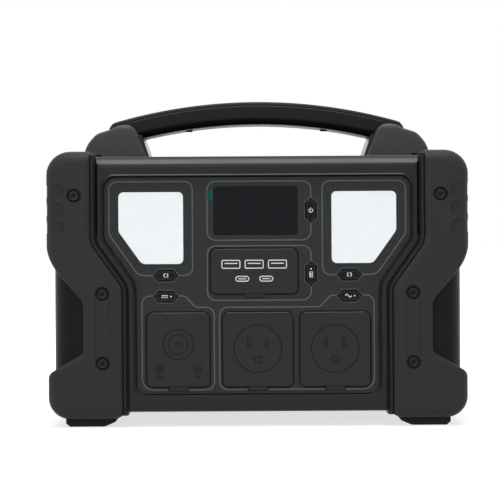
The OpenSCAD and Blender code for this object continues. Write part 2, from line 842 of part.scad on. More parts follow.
// A board with rows of light sources, as many as fit on it
module lamp_board(side) color("#f4f2ea") lift() on_side(side) {
    slab(lens_area(1.2), lamp_floor - tray_t - seat - board_t, lamp_floor - tray_t - seat);
    intersection() {
        slab(lens_area(led_side), lamp_floor - tray_t - board_t - 1.4, lamp_floor - tray_t - seat - board_t + 0.01);
        for (x = [0:floor((lamp_w - 2 * led_in) / led_pitch)], z = [0:floor((lamp_h - 2 * led_in) / led_pitch)])
            translate([lamp_in_x + led_in + led_pitch * x, lamp_floor - tray_t - board_t, lamp_low + lamp_h - led_in - led_pitch * z])
                cube([led_side, 4, led_side], center = true);
    }
}

module display_window() color("#15171a") lift() {
    slab(box_area(display_x - display_w / 2, display_x + display_w / 2,
                  display_z - display_h / 2, display_z + display_h / 2, 2), -panel_y - 0.1, seat - panel_back);
    slab(box_area(display_x - display_w / 2 - 1.4, display_x + display_w / 2 + 1.4,
                  display_z - display_h / 2 - 1.4, display_z + display_h / 2 + 1.4, 2),
         seat - panel_back, seat + 1 - panel_back);
}

module display_module() color("#1f4a36") lift()
    difference() {
        union() {
            slab(box_area(display_x - display_w / 2 - 1.4, display_x + display_w / 2 + 1.4,
                          display_z - display_h / 2 - 1.4, display_z + display_h / 2 + 1.4, 1),
                 seat * 2 + 1 - panel_back, 6 - panel_back);
            block([display_x - display_w / 2 + 6, 6 - panel_back - 0.01, display_z - display_h / 2 + 5],
                  [display_x + display_w / 2 - 6, 9 - panel_back, display_z + display_h / 2 - 5]);
        }
        slab(box_area(display_x - display_w / 2 + 3, display_x + display_w / 2 - 3,
                      display_z - display_h / 2 + 3, display_z + display_h / 2 - 3, 1), -half_d, 2 - panel_back);
    }

// ---- buttons ----

module button(b) color("#2b2c2e") lift() {
    slab(button_area(b, button_l, button_h), -button_y, seat - panel_back);
    slab(button_area(b, button_l + 2 * flange, button_h + 2 * flange), seat - panel_back, seat + flange_t - panel_back);
    rod_y(b[0], b[1], 1.6, seat + flange_t - panel_back - 0.01, seat + flange_t + stem_l - panel_back);
}

switch_y = seat + flange_t + stem_l + plunger_gap - panel_back;
switch_side = 6;
switch_h = 3;
switch_l = button_l + 3.4;
switch_w = button_h + 4;
switch_leg_r = 0.9;
switch_leg = [button_l / 2 + 0.2, button_h / 2 + 0.7];

// A small board behind each button, with its switch and two legs that stand on the panel
module switch_boards() color("#20573b") lift()
    for (b = button_places) translate([b[0], 0, b[1]]) rotate([0, b[2] ? -90 : 0, 0]) {
        rod_y(0, 0, switch_side / 4, switch_y, switch_y + 1.2);
        block([-switch_side / 2, switch_y + 1, -switch_side / 2], [switch_side / 2, switch_y + 1 + switch_h, switch_side / 2]);
        block([-switch_l / 2, switch_y + 1 + switch_h - 0.01, -switch_w / 2],
              [switch_l / 2, switch_y + 1 + switch_h + board_t, switch_w / 2]);
        for (s = [-1, 1])
            rod_y(s * switch_leg[0], s * switch_leg[1], switch_leg_r, seat - panel_back, switch_y + 1 + switch_h);
    }

// ---- covers ----

module cover(c) color("#323230") lift() {
    slab(cover_area(c, 0), -panel_y - cover_proud, -cover_back);
    difference() {
        slab(cover_area(c, well_in + plug_gap), -cover_back - 0.01, plug_l - cover_back);
        slab(cover_area(c, well_in + plug_gap + plug_t), -half_d, 0);
    }
    block([c[0] - strap_w / 2, -hinge_y - strap_t / 2, cover_low(c) - strap_l],
          [c[0] + strap_w / 2, -hinge_y + strap_t / 2, cover_low(c) + 1]);
    rod_x(-hinge_y, cover_low(c) - strap_l, bead_r, c[0] - strap_w / 2, c[0] + strap_w / 2);
}

// Ports and outlets, by their openings and their depth behind the floor of the well
usb_port_pitch = 16;
usb_port_shift = -2;
usb_row_up = 5.4;
usb_row_down = -5.2;
usb_a_w = 14.8;
usb_a_h = 7.4;
usb_a_depth = 14;
usb_c_w = 10.4;
usb_c_h = 4.6;
usb_c_depth = 9;
usb_module_t = 16;
shell_t = 0.7;
cup_wall = 1.8;
outlet_t = 6;
mains_t = 26;
mains_half_w = 15;
mains_half_h = 17;
mains_face_h = 1.2;
blade_t = 1.9;
blade_h = [8.8, 7.6];
blade_up = 3.5;
blade_depth = 18;
earth_r = 2.6;
earth_down = 8.4;
usb_a_x = [for (i = [-1:1]) usb_port_shift + usb_port_pitch * i];
usb_c_x = [for (i = [-1, 1]) usb_port_shift * 2 + usb_port_pitch * i / 2];

// The cup behind a cover: a box with a floor at well_back
module cup(c, back)
    difference() {
        slab(cover_area(c, well_in - 0.6 - cup_wall), seat - panel_back, back);
        slab(cover_area(c, well_in - 0.6), -half_d, -well_back);
    }

module usb_module() color("#1b1c1e") lift()
    difference() {
        cup(usb_place, usb_module_t - well_back);
        for (x = usb_a_x)
            facing(-half_d, usb_a_depth - well_back) translate([usb_x + x, usb_z + usb_row_up])
                square([usb_a_w, usb_a_h], center = true);
        for (x = usb_c_x)
            facing(-half_d, usb_c_depth - well_back) translate([usb_x + x, usb_z + usb_row_down])
                stadium(usb_c_w, usb_c_h);
    }

module usb_shells() color("#b9bcc0") lift() {
    for (x = usb_a_x) translate([usb_x + x, 0, usb_z + usb_row_up]) {
        difference() {
            facing(0.4 - well_back, usb_a_depth - seat - well_back)
                square([usb_a_w - 2 * seat, usb_a_h - 2 * seat], center = true);
            facing(-half_d, usb_a_depth - 1 - well_back)
                square([usb_a_w - 2 * seat - 2 * shell_t, usb_a_h - 2 * seat - 2 * shell_t], center = true);
        }
        block([2 - usb_a_w / 2, 2 - well_back, 0.2], [usb_a_w / 2 - 2, usb_a_depth - 0.9 - well_back, 2]);
    }
    for (x = usb_c_x) translate([usb_x + x, 0, usb_z + usb_row_down]) {
        difference() {
            facing(0.4 - well_back, usb_c_depth - seat - well_back) stadium(usb_c_w - seat, usb_c_h - seat);
            facing(-half_d, usb_c_depth - 0.8 - well_back)
                stadium(usb_c_w - 2 * shell_t, usb_c_h - 2 * shell_t);
        }
        block([1.8 - usb_c_w / 2, 2 - well_back, -0.35], [usb_c_w / 2 - 1.8, usb_c_depth - 0.7 - well_back, 0.35]);
    }
}

module dc_module() color("#1b1c1e") lift()
    difference() {
        cup(dc_place, outlet_t - well_back);
        rod_y(dc_x, vehicle_z, vehicle_r + 2.1, -half_d, 0);
        for (s = [-1, 1]) rod_y(dc_x + s * jack_dx, jack_z, jack_r + 1.3, -half_d, 0);
    }

module vehicle_socket() color("#6d6f72") lift()
    difference() {
        union() {
            rod_y(dc_x, vehicle_z, vehicle_r + 3.4, -well_back - 1, -well_back - seat);
            rod_y(dc_x, vehicle_z, vehicle_r + 2, -well_back - seat - 0.01, vehicle_depth + 1.6 - well_back);
            rod_y(dc_x, vehicle_z, vehicle_r + 4, outlet_t + seat - well_back, outlet_t + 3 - well_back);
        }
        rod_y(dc_x, vehicle_z, vehicle_r, -half_d, vehicle_depth - well_back);
    }

module jack(side) color("#2c2d2f") lift() {
    difference() {
        union() {
            rod_y(dc_x + side * jack_dx, jack_z, jack_r + jack_lip, -well_back - 0.8, -well_back - seat);
            rod_y(dc_x + side * jack_dx, jack_z, jack_r + 1.2, -well_back - seat - 0.01, 11 - well_back);
        }
        rod_y(dc_x + side * jack_dx, jack_z, jack_r, -half_d, 9.6 - well_back);
    }
    rod_y(dc_x + side * jack_dx, jack_z, jack_pin_r, 0.4 - well_back, 10 - well_back);
}

module ac_outlet(c) color("#202123") lift()
    difference() {
        union() {
            cup(c, outlet_t - well_back);
            rod_y(c[0], c[1], mains_r, -well_back - mains_face_h, -well_back + 0.01);
            block([c[0] - mains_half_w, outlet_t - well_back - 0.01, c[1] - mains_half_h],
                  [c[0] + mains_half_w, mains_t - well_back, c[1] + mains_half_h]);
        }
        for (s = [0, 1])
            facing(-half_d, blade_depth - well_back)
                translate([c[0] + (s - 0.5) * mains_pitch, c[1] + blade_up]) square([blade_t, blade_h[s]], center = true);
        rod_y(c[0], c[1] - earth_down, earth_r, -half_d, blade_depth - well_back);
    }

// ---- cooling ----

module fan_frame(side) color("#1c1c1c") lift() on_side(side) {
    difference() {
        sideways(fan_x - fan_t, fan_x) translate([0, vent_z]) round_rect(fan_side, fan_side, 4);
        rod_x(0, vent_z, rotor_r + 1, 0, half_w);
    }
    for (a = [0, 90, 180, 270])
        translate([0, 0, vent_z]) rotate([a + 45, 0, 0])
            block([fan_x - fan_t, -1.4, 6], [fan_x - fan_t + 1.8, 1.4, rotor_r + 2]);
    rod_x(0, vent_z, 8, fan_x - fan_t, fan_x - fan_t + 1.8);
    rod_x(0, vent_z, shaft_r, fan_x - fan_t, fan_x - 2);
}

module fan_rotor(side) color("#2e2f31") lift() on_side(side)
    difference() {
        union() {
            rod_x(0, vent_z, hub_r, fan_x - fan_t + 2.4, fan_x - 2.4);
            for (i = [0:6])
                translate([0, 0, vent_z]) rotate([i * 360 / 7, 0, 0])
                    translate([fan_x - fan_t / 2, 0, 0]) rotate([0, 0, 38])
                        block([-5, -0.8, hub_r - 1.5], [5, 0.8, rotor_r - 0.6]);
        }
        rod_x(0, vent_z, shaft_r + rotor_gap, 0, half_w);
    }

// ---- battery and electronics ----

module cell_grid()
    for (i = [0:cells_across - 1], k = [0:cells_up - 1])
        translate([(i - (cells_across - 1) / 2) * cell_pitch, pack_y, pack_z + holder_h / 2 + (k - (cells_up - 1) / 2) * cell_pitch])
            children();

module battery_cells() color("#3e7d5a") lift()
    cell_grid() rotate([90, 0, 0]) cylinder(r = cell_r, h = cell_l, center = true, $fn = 24);

module cell_holder(end) color("#26282a") lift()
    difference() {
        translate([0, pack_y + end * (cell_l / 2 + 1.5 - holder_t / 2), pack_z + holder_h / 2])
            cube([holder_w, holder_t, holder_h], center = true);
        cell_grid() rotate([90, 0, 0]) cylinder(r = cell_r + 0.1, h = cell_l + 2 * seat, center = true, $fn = 24);
    }

holder_back = pack_y + cell_l / 2 + 1.5;

// The boards are sized to the battery that carries them
spacer = 3;
spacer_r = 2.5;
spacer_in = 6;
cell_board_in = 21.4;
cell_board_w = holder_w / 2 - cell_board_in;
cell_board_z = [pack_z + cell_board_in, pack_z + holder_h - cell_board_in];
chip = 6;
chip_pitch = 11;

module battery_board() color("#1f5138") lift() {
    block([-cell_board_w, holder_back + spacer, cell_board_z[0]],
          [cell_board_w, holder_back + spacer + board_t, cell_board_z[1]]);
    for (x = [-1, 1], z = [cell_board_z[0] + spacer_in, cell_board_z[1] - spacer_in])
        rod_y(x * (cell_board_w - spacer_in), z, spacer_r, holder_back + seat, holder_back + spacer + 0.1);
    for (i = [-4:4])
        block([i * chip_pitch - chip / 2, holder_back + spacer + board_t - 0.01, cell_board_z[1] - 2 * chip],
              [i * chip_pitch + chip / 2, holder_back + 2 * spacer + board_t, cell_board_z[1] - chip]);
}

inverter_w = holder_w / 2 + 10.6;
inverter_d = 55;
inverter_y = pack_y + 7;
post_w = 6;
post_d = 4;
post_x = holder_w / 2 - 11.4;
coil_r = 9;
coil_h = 26;
coil_y = inverter_y - 31;
coil_pitch = 30;
core_w = 32;
core_y = inverter_y + 29;
sink_w = 56;
sink_low_h = 6;
sink_top_h = 34;
sink_l = 94;
fin_t = 2;
fin_pitch = (sink_w - fin_t) / 7;

module inverter_board() color("#1f5138") lift() {
    block([-inverter_w, inverter_y - inverter_d, inverter_z], [inverter_w, inverter_y + inverter_d, inverter_z + board_t]);
    for (x = [-1, 1], y = [-1, 1])
        translate([x * post_x, pack_y + y * (cell_l / 2 - 1.5), (pack_z + holder_h + seat + inverter_z + 0.01) / 2])
            cube([post_w, post_d, inverter_z + 0.01 - pack_z - holder_h - seat], center = true);
}

module inverter_parts() color("#4b4036") lift() {
    for (s = [-1, 1], x = [post_x, post_x - coil_pitch])
        translate([s * x, coil_y, inverter_z + board_t + seat]) cylinder(r = coil_r, h = coil_h);
    for (x = [-1, 1])
        translate([x * (sink_w / 2 + 34), core_y, inverter_z + board_t + seat + coil_h / 2])
            cube([core_w, core_w, coil_h], center = true);
}

module heat_sink() color("#9a9da1") lift() {
    block([-sink_w / 2, inverter_y - sink_l / 2, inverter_z + board_t + seat],
          [sink_w / 2, inverter_y + sink_l / 2, inverter_z + board_t + sink_low_h]);
    for (i = [0:7])
        block([i * fin_pitch - sink_w / 2, inverter_y - sink_l / 2, inverter_z + board_t + sink_low_h - 0.01],
              [i * fin_pitch - sink_w / 2 + fin_t, inverter_y + sink_l / 2, inverter_z + board_t + sink_top_h]);
}

front_shell();
rear_shell();
front_panel();
panel_seal();
side_cover(-1);  // side_cover_left
side_cover(1);  // side_cover_right
side_guard(-1);  // side_guard_left
side_guard(1);  // side_guard_right
guard_screws();
foot(-1, -1);  // foot_front_left
foot(1, -1);  // foot_front_right
foot(-1, 1);  // foot_rear_left
foot(1, 1);  // foot_rear_right
foot_screws();
handle_mount(-1);  // handle_mount_left
handle_mount(1);  // handle_mount_right
handle_grip();
handle_cap();
handle_screws();
lamp_lens(-1);  // lamp_lens_left
lamp_lens(1);  // lamp_lens_right
lamp_tray(-1);  // lamp_tray_left
lamp_tray(1);  // lamp_tray_right
lamp_board(-1);  // lamp_board_left
lamp_board(1);  // lamp_board_right
display_window();
display_module();
button(power_place);  // power_button
button(usb_button_place);  // usb_button
button(lamp_left_place);  // lamp_button_left
button(lamp_right_place);  // lamp_button_right
button(dc_button_place);  // dc_button
button(ac_button_place);  // ac_button
switch_boards();
cover(usb_place);  // usb_cover
cover(dc_place);  // dc_cover
cover(ac_left_place);  // ac_cover_left
cover(ac_right_place);  // ac_cover_right
usb_module();
usb_shells();
dc_module();
vehicle_socket();
jack(-1);  // jack_left
jack(1);  // jack_right
ac_outlet(ac_left_place);  // ac_outlet_left
ac_outlet(ac_right_place);  // ac_outlet_right
fan_frame(-1);  // fan_frame_left
fan_frame(1);  // fan_frame_right
fan_rotor(-1);  // fan_rotor_left
fan_rotor(1);  // fan_rotor_right
battery_cells();
cell_holder(-1);  // cell_holder_front
cell_holder(1);  // cell_holder_rear
battery_board();
inverter_board();
inverter_parts();
heat_sink();
housing_screws();
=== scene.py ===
import math

import bmesh
import bpy
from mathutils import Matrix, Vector


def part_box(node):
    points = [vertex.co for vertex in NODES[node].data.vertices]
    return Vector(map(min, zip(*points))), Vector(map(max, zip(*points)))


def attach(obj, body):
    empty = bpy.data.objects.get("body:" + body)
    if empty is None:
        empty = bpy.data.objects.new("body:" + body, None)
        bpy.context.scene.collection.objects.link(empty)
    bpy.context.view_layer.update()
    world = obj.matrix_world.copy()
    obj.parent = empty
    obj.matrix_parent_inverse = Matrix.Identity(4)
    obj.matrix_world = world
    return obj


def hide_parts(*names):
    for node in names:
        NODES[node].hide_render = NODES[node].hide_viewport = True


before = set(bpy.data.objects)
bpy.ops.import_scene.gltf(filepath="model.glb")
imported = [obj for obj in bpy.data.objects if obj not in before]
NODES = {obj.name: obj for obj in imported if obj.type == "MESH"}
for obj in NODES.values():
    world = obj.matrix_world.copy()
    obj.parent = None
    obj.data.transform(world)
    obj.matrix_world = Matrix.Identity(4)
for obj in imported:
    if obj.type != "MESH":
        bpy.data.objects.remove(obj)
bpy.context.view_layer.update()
MM = 0.001


# ---- sizes, in millimetres
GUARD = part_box("side_guard_right")
HALF_W = GUARD[1][0] / MM
HALF_D = GUARD[1][1] / MM
BASE = GUARD[0][2] / MM
GUARD_H = (GUARD[1][2] - GUARD[0][2]) / MM


# ---- materials
def new_material(name):
    """A material whose node tree holds one shader."""
    mat = bpy.data.materials.new(name)
    mat.use_nodes = True
    tree = mat.node_tree
    tree.nodes.clear()
    out = tree.nodes.new("ShaderNodeOutputMaterial")
    shader = tree.nodes.new("ShaderNodeBsdfPrincipled")
    tree.links.new(shader.outputs[0], out.inputs[0])
    return mat, tree, shader


def add(tree, kind, **values):
    """A new node with its settings, or the values of its inputs, given by name."""
    node = tree.nodes.new("ShaderNode" + kind)
    for key, value in values.items():
        if hasattr(node, key):
            setattr(node, key, value)
        else:
            node.inputs[key.replace("_", " ")].default_value = value
    return node


def ramp(tree, source, stops):
    """A colour ramp over a value; stops lists (place, tone or colour)."""
    node = tree.nodes.new("ShaderNodeValToRGB")
    while len(node.color_ramp.elements) < len(stops):
        node.color_ramp.elements.new(0.5)
    for element, (place, value) in zip(node.color_ramp.elements, stops):
        element.position = place
        element.color = (*value, 1) if isinstance(value, tuple) else (value, value, value, 1)
    tree.links.new(source, node.inputs[0])
    return node.outputs[0]


def noise(tree, scale, detail, roughness):
    """Noise in the object's own coordinates."""
    node = add(tree, "TexNoise", Scale=scale, Detail=detail, Roughness=roughness)
    tree.links.new(add(tree, "TexCoord").outputs["Object"], node.inputs["Vector"])
    return node.outputs[0]


def calc(tree, operation, a, b):
    """One operation on two outputs."""
    node = add(tree, "Math", operation=operation)
    tree.links.new(a, node.inputs[0])
    tree.links.new(b, node.inputs[1])
    return node.outputs[0]


def mixed(tree, share, base, tone, blend="MIX"):
    """A base colour mixed with a tone by a share; each is an output or a value."""
    mix = add(tree, "Mix", data_type="RGBA", blend_type=blend)
    for socket, value in ((0, share), (6, base), (7, tone)):
        if isinstance(value, bpy.types.NodeSocket):
            tree.links.new(value, mix.inputs[socket])
        else:
            mix.inputs[socket].default_value = value
    return mix.outputs[2]


def bumped(tree, shader, height, strength):
    """The shader's surface raised and sunk by an output."""
    bump = add(tree, "Bump", Strength=strength, Distance=0.0001)
    tree.links.new(height, bump.inputs["Height"])
    tree.links.new(bump.outputs[0], shader.inputs["Normal"])


def toned(tree, shader, source, colours, roughs):
    """The shader's colour and roughness, each between two values by an output."""
    for name, (low, high) in (("Base Color", colours), ("Roughness", roughs)):
        tree.links.new(ramp(tree, source, [(0.3, low), (0.7, high)]), shader.inputs[name])


def shade(colour, factor):
    """A colour made lighter or darker."""
    return tuple(min(1, c * factor) for c in colour)


def moulded(name, colour, rough=0.5, grain=2400, grain_depth=0.25, blotch=0.16, spec=0.4,
            wear=0.0, sparkle=0.0, mottle=0.0):
    """Moulded plastic or rubber: fine grain and slow changes of tone and, if asked, dots,
    bright flakes or pale worn edges."""
    mat, tree, shader = new_material(name)
    slow = noise(tree, 34.0, 5.0, 0.6)
    tones = [(0.32, shade(colour, 1 - blotch)), (0.68, shade(colour, 1 + blotch))]
    base = ramp(tree, slow, tones)
    if mottle:
        dots = noise(tree, 850.0, 2.0, 0.6)
        dots = ramp(tree, dots, [(0.34, 1 - mottle), (0.66, 1 + mottle)])
        base = mixed(tree, 1.0, base, dots, "MULTIPLY")
    if sparkle:
        cells = add(tree, "TexVoronoi", Scale=1500.0)
        tree.links.new(add(tree, "TexCoord").outputs["Object"], cells.inputs["Vector"])
        spot = ramp(tree, cells.outputs["Color"], [(0.78, 0.0), (0.93, 1.0)])
        size = ramp(tree, cells.outputs["Distance"], [(0.18, 1.0), (0.42, 0.0)])
        flakes = calc(tree, "MULTIPLY", spot, size)
        base = mixed(tree, flakes, base, (*shade(colour, 1 + sparkle), 1))
    if wear:
        edge = add(tree, "NewGeometry").outputs["Pointiness"]
        edge = ramp(tree, edge, [(0.505, 0.0), (0.56, 1.0)])
        patch = ramp(tree, noise(tree, 160.0, 6.0, 0.7), [(0.42, 0.25), (0.62, 1.0)])
        worn = calc(tree, "MULTIPLY", edge, patch)
        base = mixed(tree, worn, base, (*shade(colour, 1 + wear), 1))
    tree.links.new(base, shader.inputs["Base Color"])
    uneven = ramp(tree, slow, [(0.3, max(0.02, rough - 0.03)), (0.7, min(1, rough + 0.03))])
    tree.links.new(uneven, shader.inputs["Roughness"])
    bumped(tree, shader, noise(tree, float(grain), 3.0, 0.55), grain_depth)
    shader.inputs["Specular IOR Level"].default_value = spec
    return mat


def metal(name, colour, rough=0.3):
    """Bare or blackened metal with a slightly uneven surface."""
    mat, tree, shader = new_material(name)
    slow = noise(tree, 220.0, 5.0, 0.6)
    roughs = (rough * 0.94, min(1, rough * 1.08))
    toned(tree, shader, slow, (shade(colour, 0.95), shade(colour, 1.04)), roughs)
    bumped(tree, shader, slow, 0.03)
    shader.inputs["Metallic"].default_value = 1.0
    return mat


def frosted(name, colour):
    """A frosted white lamp lens, milky and slightly glossy."""
    mat, tree, shader = new_material(name)
    toned(tree, shader, noise(tree, 60.0, 4.0, 0.5), (shade(colour, 0.975), colour), (0.3, 0.4))
    shader.inputs["Specular IOR Level"].default_value = 0.25
    return mat


M = {
    "guard": moulded("soft rubber guard", (0.0185, 0.0183, 0.0176), 0.6, 2600, 0.25, 0.03, 0.19),
    "frame": moulded("satin housing", (0.0112, 0.011, 0.0106), 0.31, 2600, 0.06, 0.03, 0.19),
    # side cover: base darkened and gloss cut as painted shade for its dark surroundings at the
    # waist; its own rim keeps a lighter tone
    "side": moulded("side cover", (0.0068, 0.0071, 0.0071), 0.45, 2200, 0.1, 0.04, 0.08),
    "rim": moulded("side cover rim", (0.012, 0.012, 0.0117), 0.34, 2400, 0.08, 0.03, 0.16),
    "panel": moulded("sparkle panel", (0.0182, 0.0189, 0.0206), 0.6, 1900, 0.5, 0.05, 0.2,
                     sparkle=2.9, mottle=0.3),
    "cover": moulded("rubber cover", (0.0052, 0.0051, 0.0049), 0.32, 2300, 0.12, 0.015, 0.29),
    "seal": moulded("seal", (0.005, 0.005, 0.005), 0.7, 2000, 0.2, 0.1, 0.1),
    "foot": moulded("rubber foot", (0.013, 0.013, 0.0132), 0.7, 1500, 0.4, 0.1, 0.15),
    "handle": moulded("handle plastic", (0.0052, 0.0058, 0.0056), 0.36, 2400, 0.15, 0.05, 0.14,
                      wear=0.4),
    "mount": moulded("handle mount", (0.0405, 0.0403, 0.0395), 0.5, 2200, 0.25, 0.03, 0.3),
    # dark strip along each mount's inner slope: painted shade of the recess there
    "liner": moulded("mount recess painted shade", (0.01, 0.0098, 0.0094), 0.3, 2400, 0.1, 0.05, 0.2),
    # grip cap lighter than the grip below: painted light falling on the top of the grip
    "grip": moulded("grip cap with painted top light", (0.0112, 0.0122, 0.0118), 0.5, 2300, 0.25, 0.04, 0.14, wear=0.4),
    "button": moulded("button", (0.003, 0.003, 0.0033), 0.24, 2400, 0.05, 0.1, 0.14),
    "lens": frosted("lamp lens", (0.86, 0.9, 0.905)),
    "tray": moulded("white tray", (0.7, 0.7, 0.69), 0.5, 1500, 0.1, 0.04),
    "board": moulded("circuit board", (0.02, 0.12, 0.06), 0.35, 900, 0.3, 0.2, 0.5, sparkle=1.0),
    "window": moulded("display window", (0.0024, 0.003, 0.0046), 0.34, 300, 0.0, 0.04, 0.12),
    "block": moulded("port block", (0.009, 0.0093, 0.0096), 0.45, 2000, 0.2, 0.1, 0.3),
    "nickel": metal("nickel", (0.62, 0.63, 0.64), 0.28),
    "fan": moulded("fan plastic", (0.011, 0.011, 0.0117), 0.4, 1800, 0.2, 0.1, 0.3),
    "cell": moulded("cell sleeve", (0.05, 0.2, 0.13), 0.3, 600, 0.1, 0.1, 0.5),
    "alloy": metal("heat sink alloy", (0.6, 0.61, 0.63), 0.4),
    "screw": metal("black screw", (0.023, 0.022, 0.0216), 0.32),
    "parts": moulded("power parts", (0.06, 0.05, 0.04), 0.4, 900, 0.2, 0.2, 0.4),
    "line": moulded("outline paint", (0.082, 0.078, 0.088), 0.5, 2000, 0.1, 0.05, 0.25),
    "tab": moulded("film tab", (0.0003, 0.073, 0.055), 0.4, 900, 0.05, 0.04, 0.05),
    "ink": moulded("white ink", (0.62, 0.66, 0.67), 0.5, 2000, 0.1, 0.04, 0.2),
    # darker than the rubber cover: painted shade of the moulded lines on it
    "cover_line": moulded("moulded line painted shade", (0.0035, 0.0035, 0.0035), 0.5, 2300, 0.1, 0.05, 0.12),
    # near black in the gap round each button: painted shade of the gap
    "bezel": moulded("button gap painted shade", (0.0022, 0.0022, 0.0025), 0.2, 2400, 0.03, 0.1, 0.12),
    # lighter grey on the raised pill edge of each button: painted highlight
    "ridge": moulded("button edge painted highlight", (0.02, 0.02, 0.021), 0.3, 2400, 0.05, 0.05, 0.3),
    "film": moulded("clear film edge", (0.045, 0.047, 0.047), 0.25, 900, 0.05, 0.05, 0.3),
}

WEARERS = {
    "frame": "front_shell rear_shell",
    "panel": "front_panel",
    "seal": "panel_seal",
    "side": "side_cover_left side_cover_right",
    "guard": "side_guard_left side_guard_right",
    "screw": "guard_screws foot_screws handle_screws housing_screws",
    "mount": "handle_mount_left handle_mount_right",
    "handle": "handle_grip",
    "grip": "handle_cap",
    "lens": "lamp_lens_left lamp_lens_right",
    "tray": "lamp_tray_left lamp_tray_right lamp_board_left lamp_board_right",
    "window": "display_window",
    "board": "display_module switch_boards battery_board inverter_board",
    "cover": "usb_cover dc_cover ac_cover_left ac_cover_right",
    "block": "usb_module dc_module jack_left jack_right ac_outlet_left ac_outlet_right "
             "cell_holder_front cell_holder_rear",
    "nickel": "usb_shells vehicle_socket",
    "cell": "battery_cells",
    "parts": "inverter_parts",
    "alloy": "heat_sink",
}
FINISH = {name: finish for finish, names in WEARERS.items() for name in names.split()}
for name in NODES:
    if name.startswith("foot_") and name != "foot_screws":
        FINISH[name] = "foot"
    if name.endswith("_button") or name.startswith("lamp_button"):
        FINISH[name] = "button"
    if name.startswith("fan_"):
        FINISH[name] = "fan"


def smooth_by_angle(degrees):
    """A geometry node group that smooths faces and keeps edges over an angle sharp."""
    label = f"smooth {degrees}"
    if label in bpy.data.node_groups:
        return bpy.data.node_groups[label]
    group = bpy.data.node_groups.new(label, "GeometryNodeTree")
    group.interface.new_socket("Geometry", in_out="INPUT", socket_type="NodeSocketGeometry")
    group.interface.new_socket("Geometry", in_out="OUTPUT", socket_type="NodeSocketGeometry")
    start = group.nodes.new("NodeGroupInput")
    end = group.nodes.new("NodeGroupOutput")
    faces = group.nodes.new("GeometryNodeSetShadeSmooth")
    edges = group.nodes.new("GeometryNodeSetShadeSmooth")
    edges.domain = "EDGE"
    edges.inputs["Shade Smooth"].default_value = False
    angle = group.nodes.new("GeometryNodeInputMeshEdgeAngle")
    over = group.nodes.new("FunctionNodeCompare")
    over.operation = "GREATER_THAN"
    over.inputs[1].default_value = math.radians(degrees)
    group.links.new(angle.outputs[0], over.inputs[0])
    group.links.new(over.outputs[0], edges.inputs["Selection"])
    group.links.new(start.outputs[0], faces.inputs[0])
    group.links.new(faces.outputs[0], edges.inputs[0])
    group.links.new(edges.outputs[0], end.inputs[0])
    return group


BEVEL_ANGLE, SHARP_ANGLE = 32, 38
SAME_POINT, SAME_CAD_POINT, NO_AREA = 0.000002, 0.000005, 0.000001


def dress(obj, finish, bevel, sharp=SHARP_ANGLE):
    """A finish for an object, joined corners, edges bevelled by so many millimetres, and
    smooth shading up to an angle."""
    obj.data.materials.clear()
    obj.data.materials.append(M[finish])
    weld = obj.modifiers.new("weld", "WELD")
    weld.merge_threshold = SAME_CAD_POINT
    if bevel:
        mod = obj.modifiers.new("edges", "BEVEL")
        mod.width = bevel * MM
        mod.segments = 2
        mod.limit_method = "ANGLE"
        mod.angle_limit = math.radians(BEVEL_ANGLE)
    group = obj.modifiers.new("smooth", "NODES")
    group.node_group = smooth_by_angle(sharp)
    level = obj.modifiers.new("level", "WEIGHTED_NORMAL")
    level.keep_sharp = True
    level.weight = 80


BEVEL = {"front_panel": 0.2, "panel_seal": 0.1}
for name, obj in NODES.items():
    dress(obj, FINISH[name], BEVEL.get(name, 0.3))


# ---- outlines in X and Z, in millimetres from the guards' base
def arc_corner(a, b, c, radius, steps):
    """Points of the rounded corner at b, between a and c."""
    b = Vector(b)
    u = (Vector(a) - b).normalized()
    v = (Vector(c) - b).normalized()
    half = math.acos(max(-1, min(1, u.dot(v)))) / 2
    if radius < 0.02 or half > math.pi / 2 - 0.01:
        return [b.copy() for _ in range(steps + 1)]
    reach = radius / math.tan(half)
    middle = b + (u + v).normalized() * (radius / math.sin(half))
    first, last = b + u * reach - middle, b + v * reach - middle
    start = math.atan2(first.y, first.x)
    sweep = (math.atan2(last.y, last.x) - start + math.pi) % (2 * math.pi) - math.pi
    angles = [start + sweep * i / steps for i in range(steps + 1)]
    return [middle + radius * Vector((math.cos(a), math.sin(a))) for a in angles]


def rounded(corners, steps=8):
    """Points of an outline, from corners given as (x, z, radius)."""
    points = []
    count = len(corners)
    for i, (x, z, radius) in enumerate(corners):
        a, c = corners[i - 1], corners[(i + 1) % count]
        points += arc_corner(a[:2], (x, z), c[:2], radius, steps)
    return points


def corner_lines(corners):
    """The corner before, the corner itself, its radius, the directions of its two edges and
    their normals inwards, for each corner."""
    for i, (x, z, radius) in enumerate(corners):
        a, b = Vector(corners[i - 1][:2]), Vector((x, z))
        c = Vector(corners[(i + 1) % len(corners)][:2])
        u, v = (b - a).normalized(), (c - b).normalized()
        yield a, b, radius, u, v, Vector((-u.y, u.x)), Vector((-v.y, v.x))


def inset(corners, depth):
    """The corners of the same outline moved inwards, with their radii kept concentric."""
    result = []
    for a, b, radius, u, v, n1, n2 in corner_lines(corners):
        turn = u.x * v.y - u.y * v.x
        new = b + (n1 + n2) * (depth / (1 + n1.dot(n2)))
        result.append((new.x, new.y, max(0.02, radius - depth if turn > 0 else radius + depth)))
    return result


def mirrored(corners):
    """The same outline on the other side of X = 0."""
    return [(-x, z, r) for x, z, r in reversed(corners)]


def box_area(x0, x1, z0, z1, r):
    """The outline of a rounded rectangle."""
    return [(x0, z0, r), (x1, z0, r), (x1, z1, r), (x0, z1, r)]


# ---- meshes
def put(name, data):
    """A new object in the scene."""
    obj = bpy.data.objects.new(name, data)
    bpy.context.scene.collection.objects.link(obj)
    return obj


def edited(mesh, change):
    """A mesh after a change to its corners and faces."""
    work = bmesh.new()
    work.from_mesh(mesh)
    change(work)
    work.to_mesh(mesh)
    work.free()
    return mesh


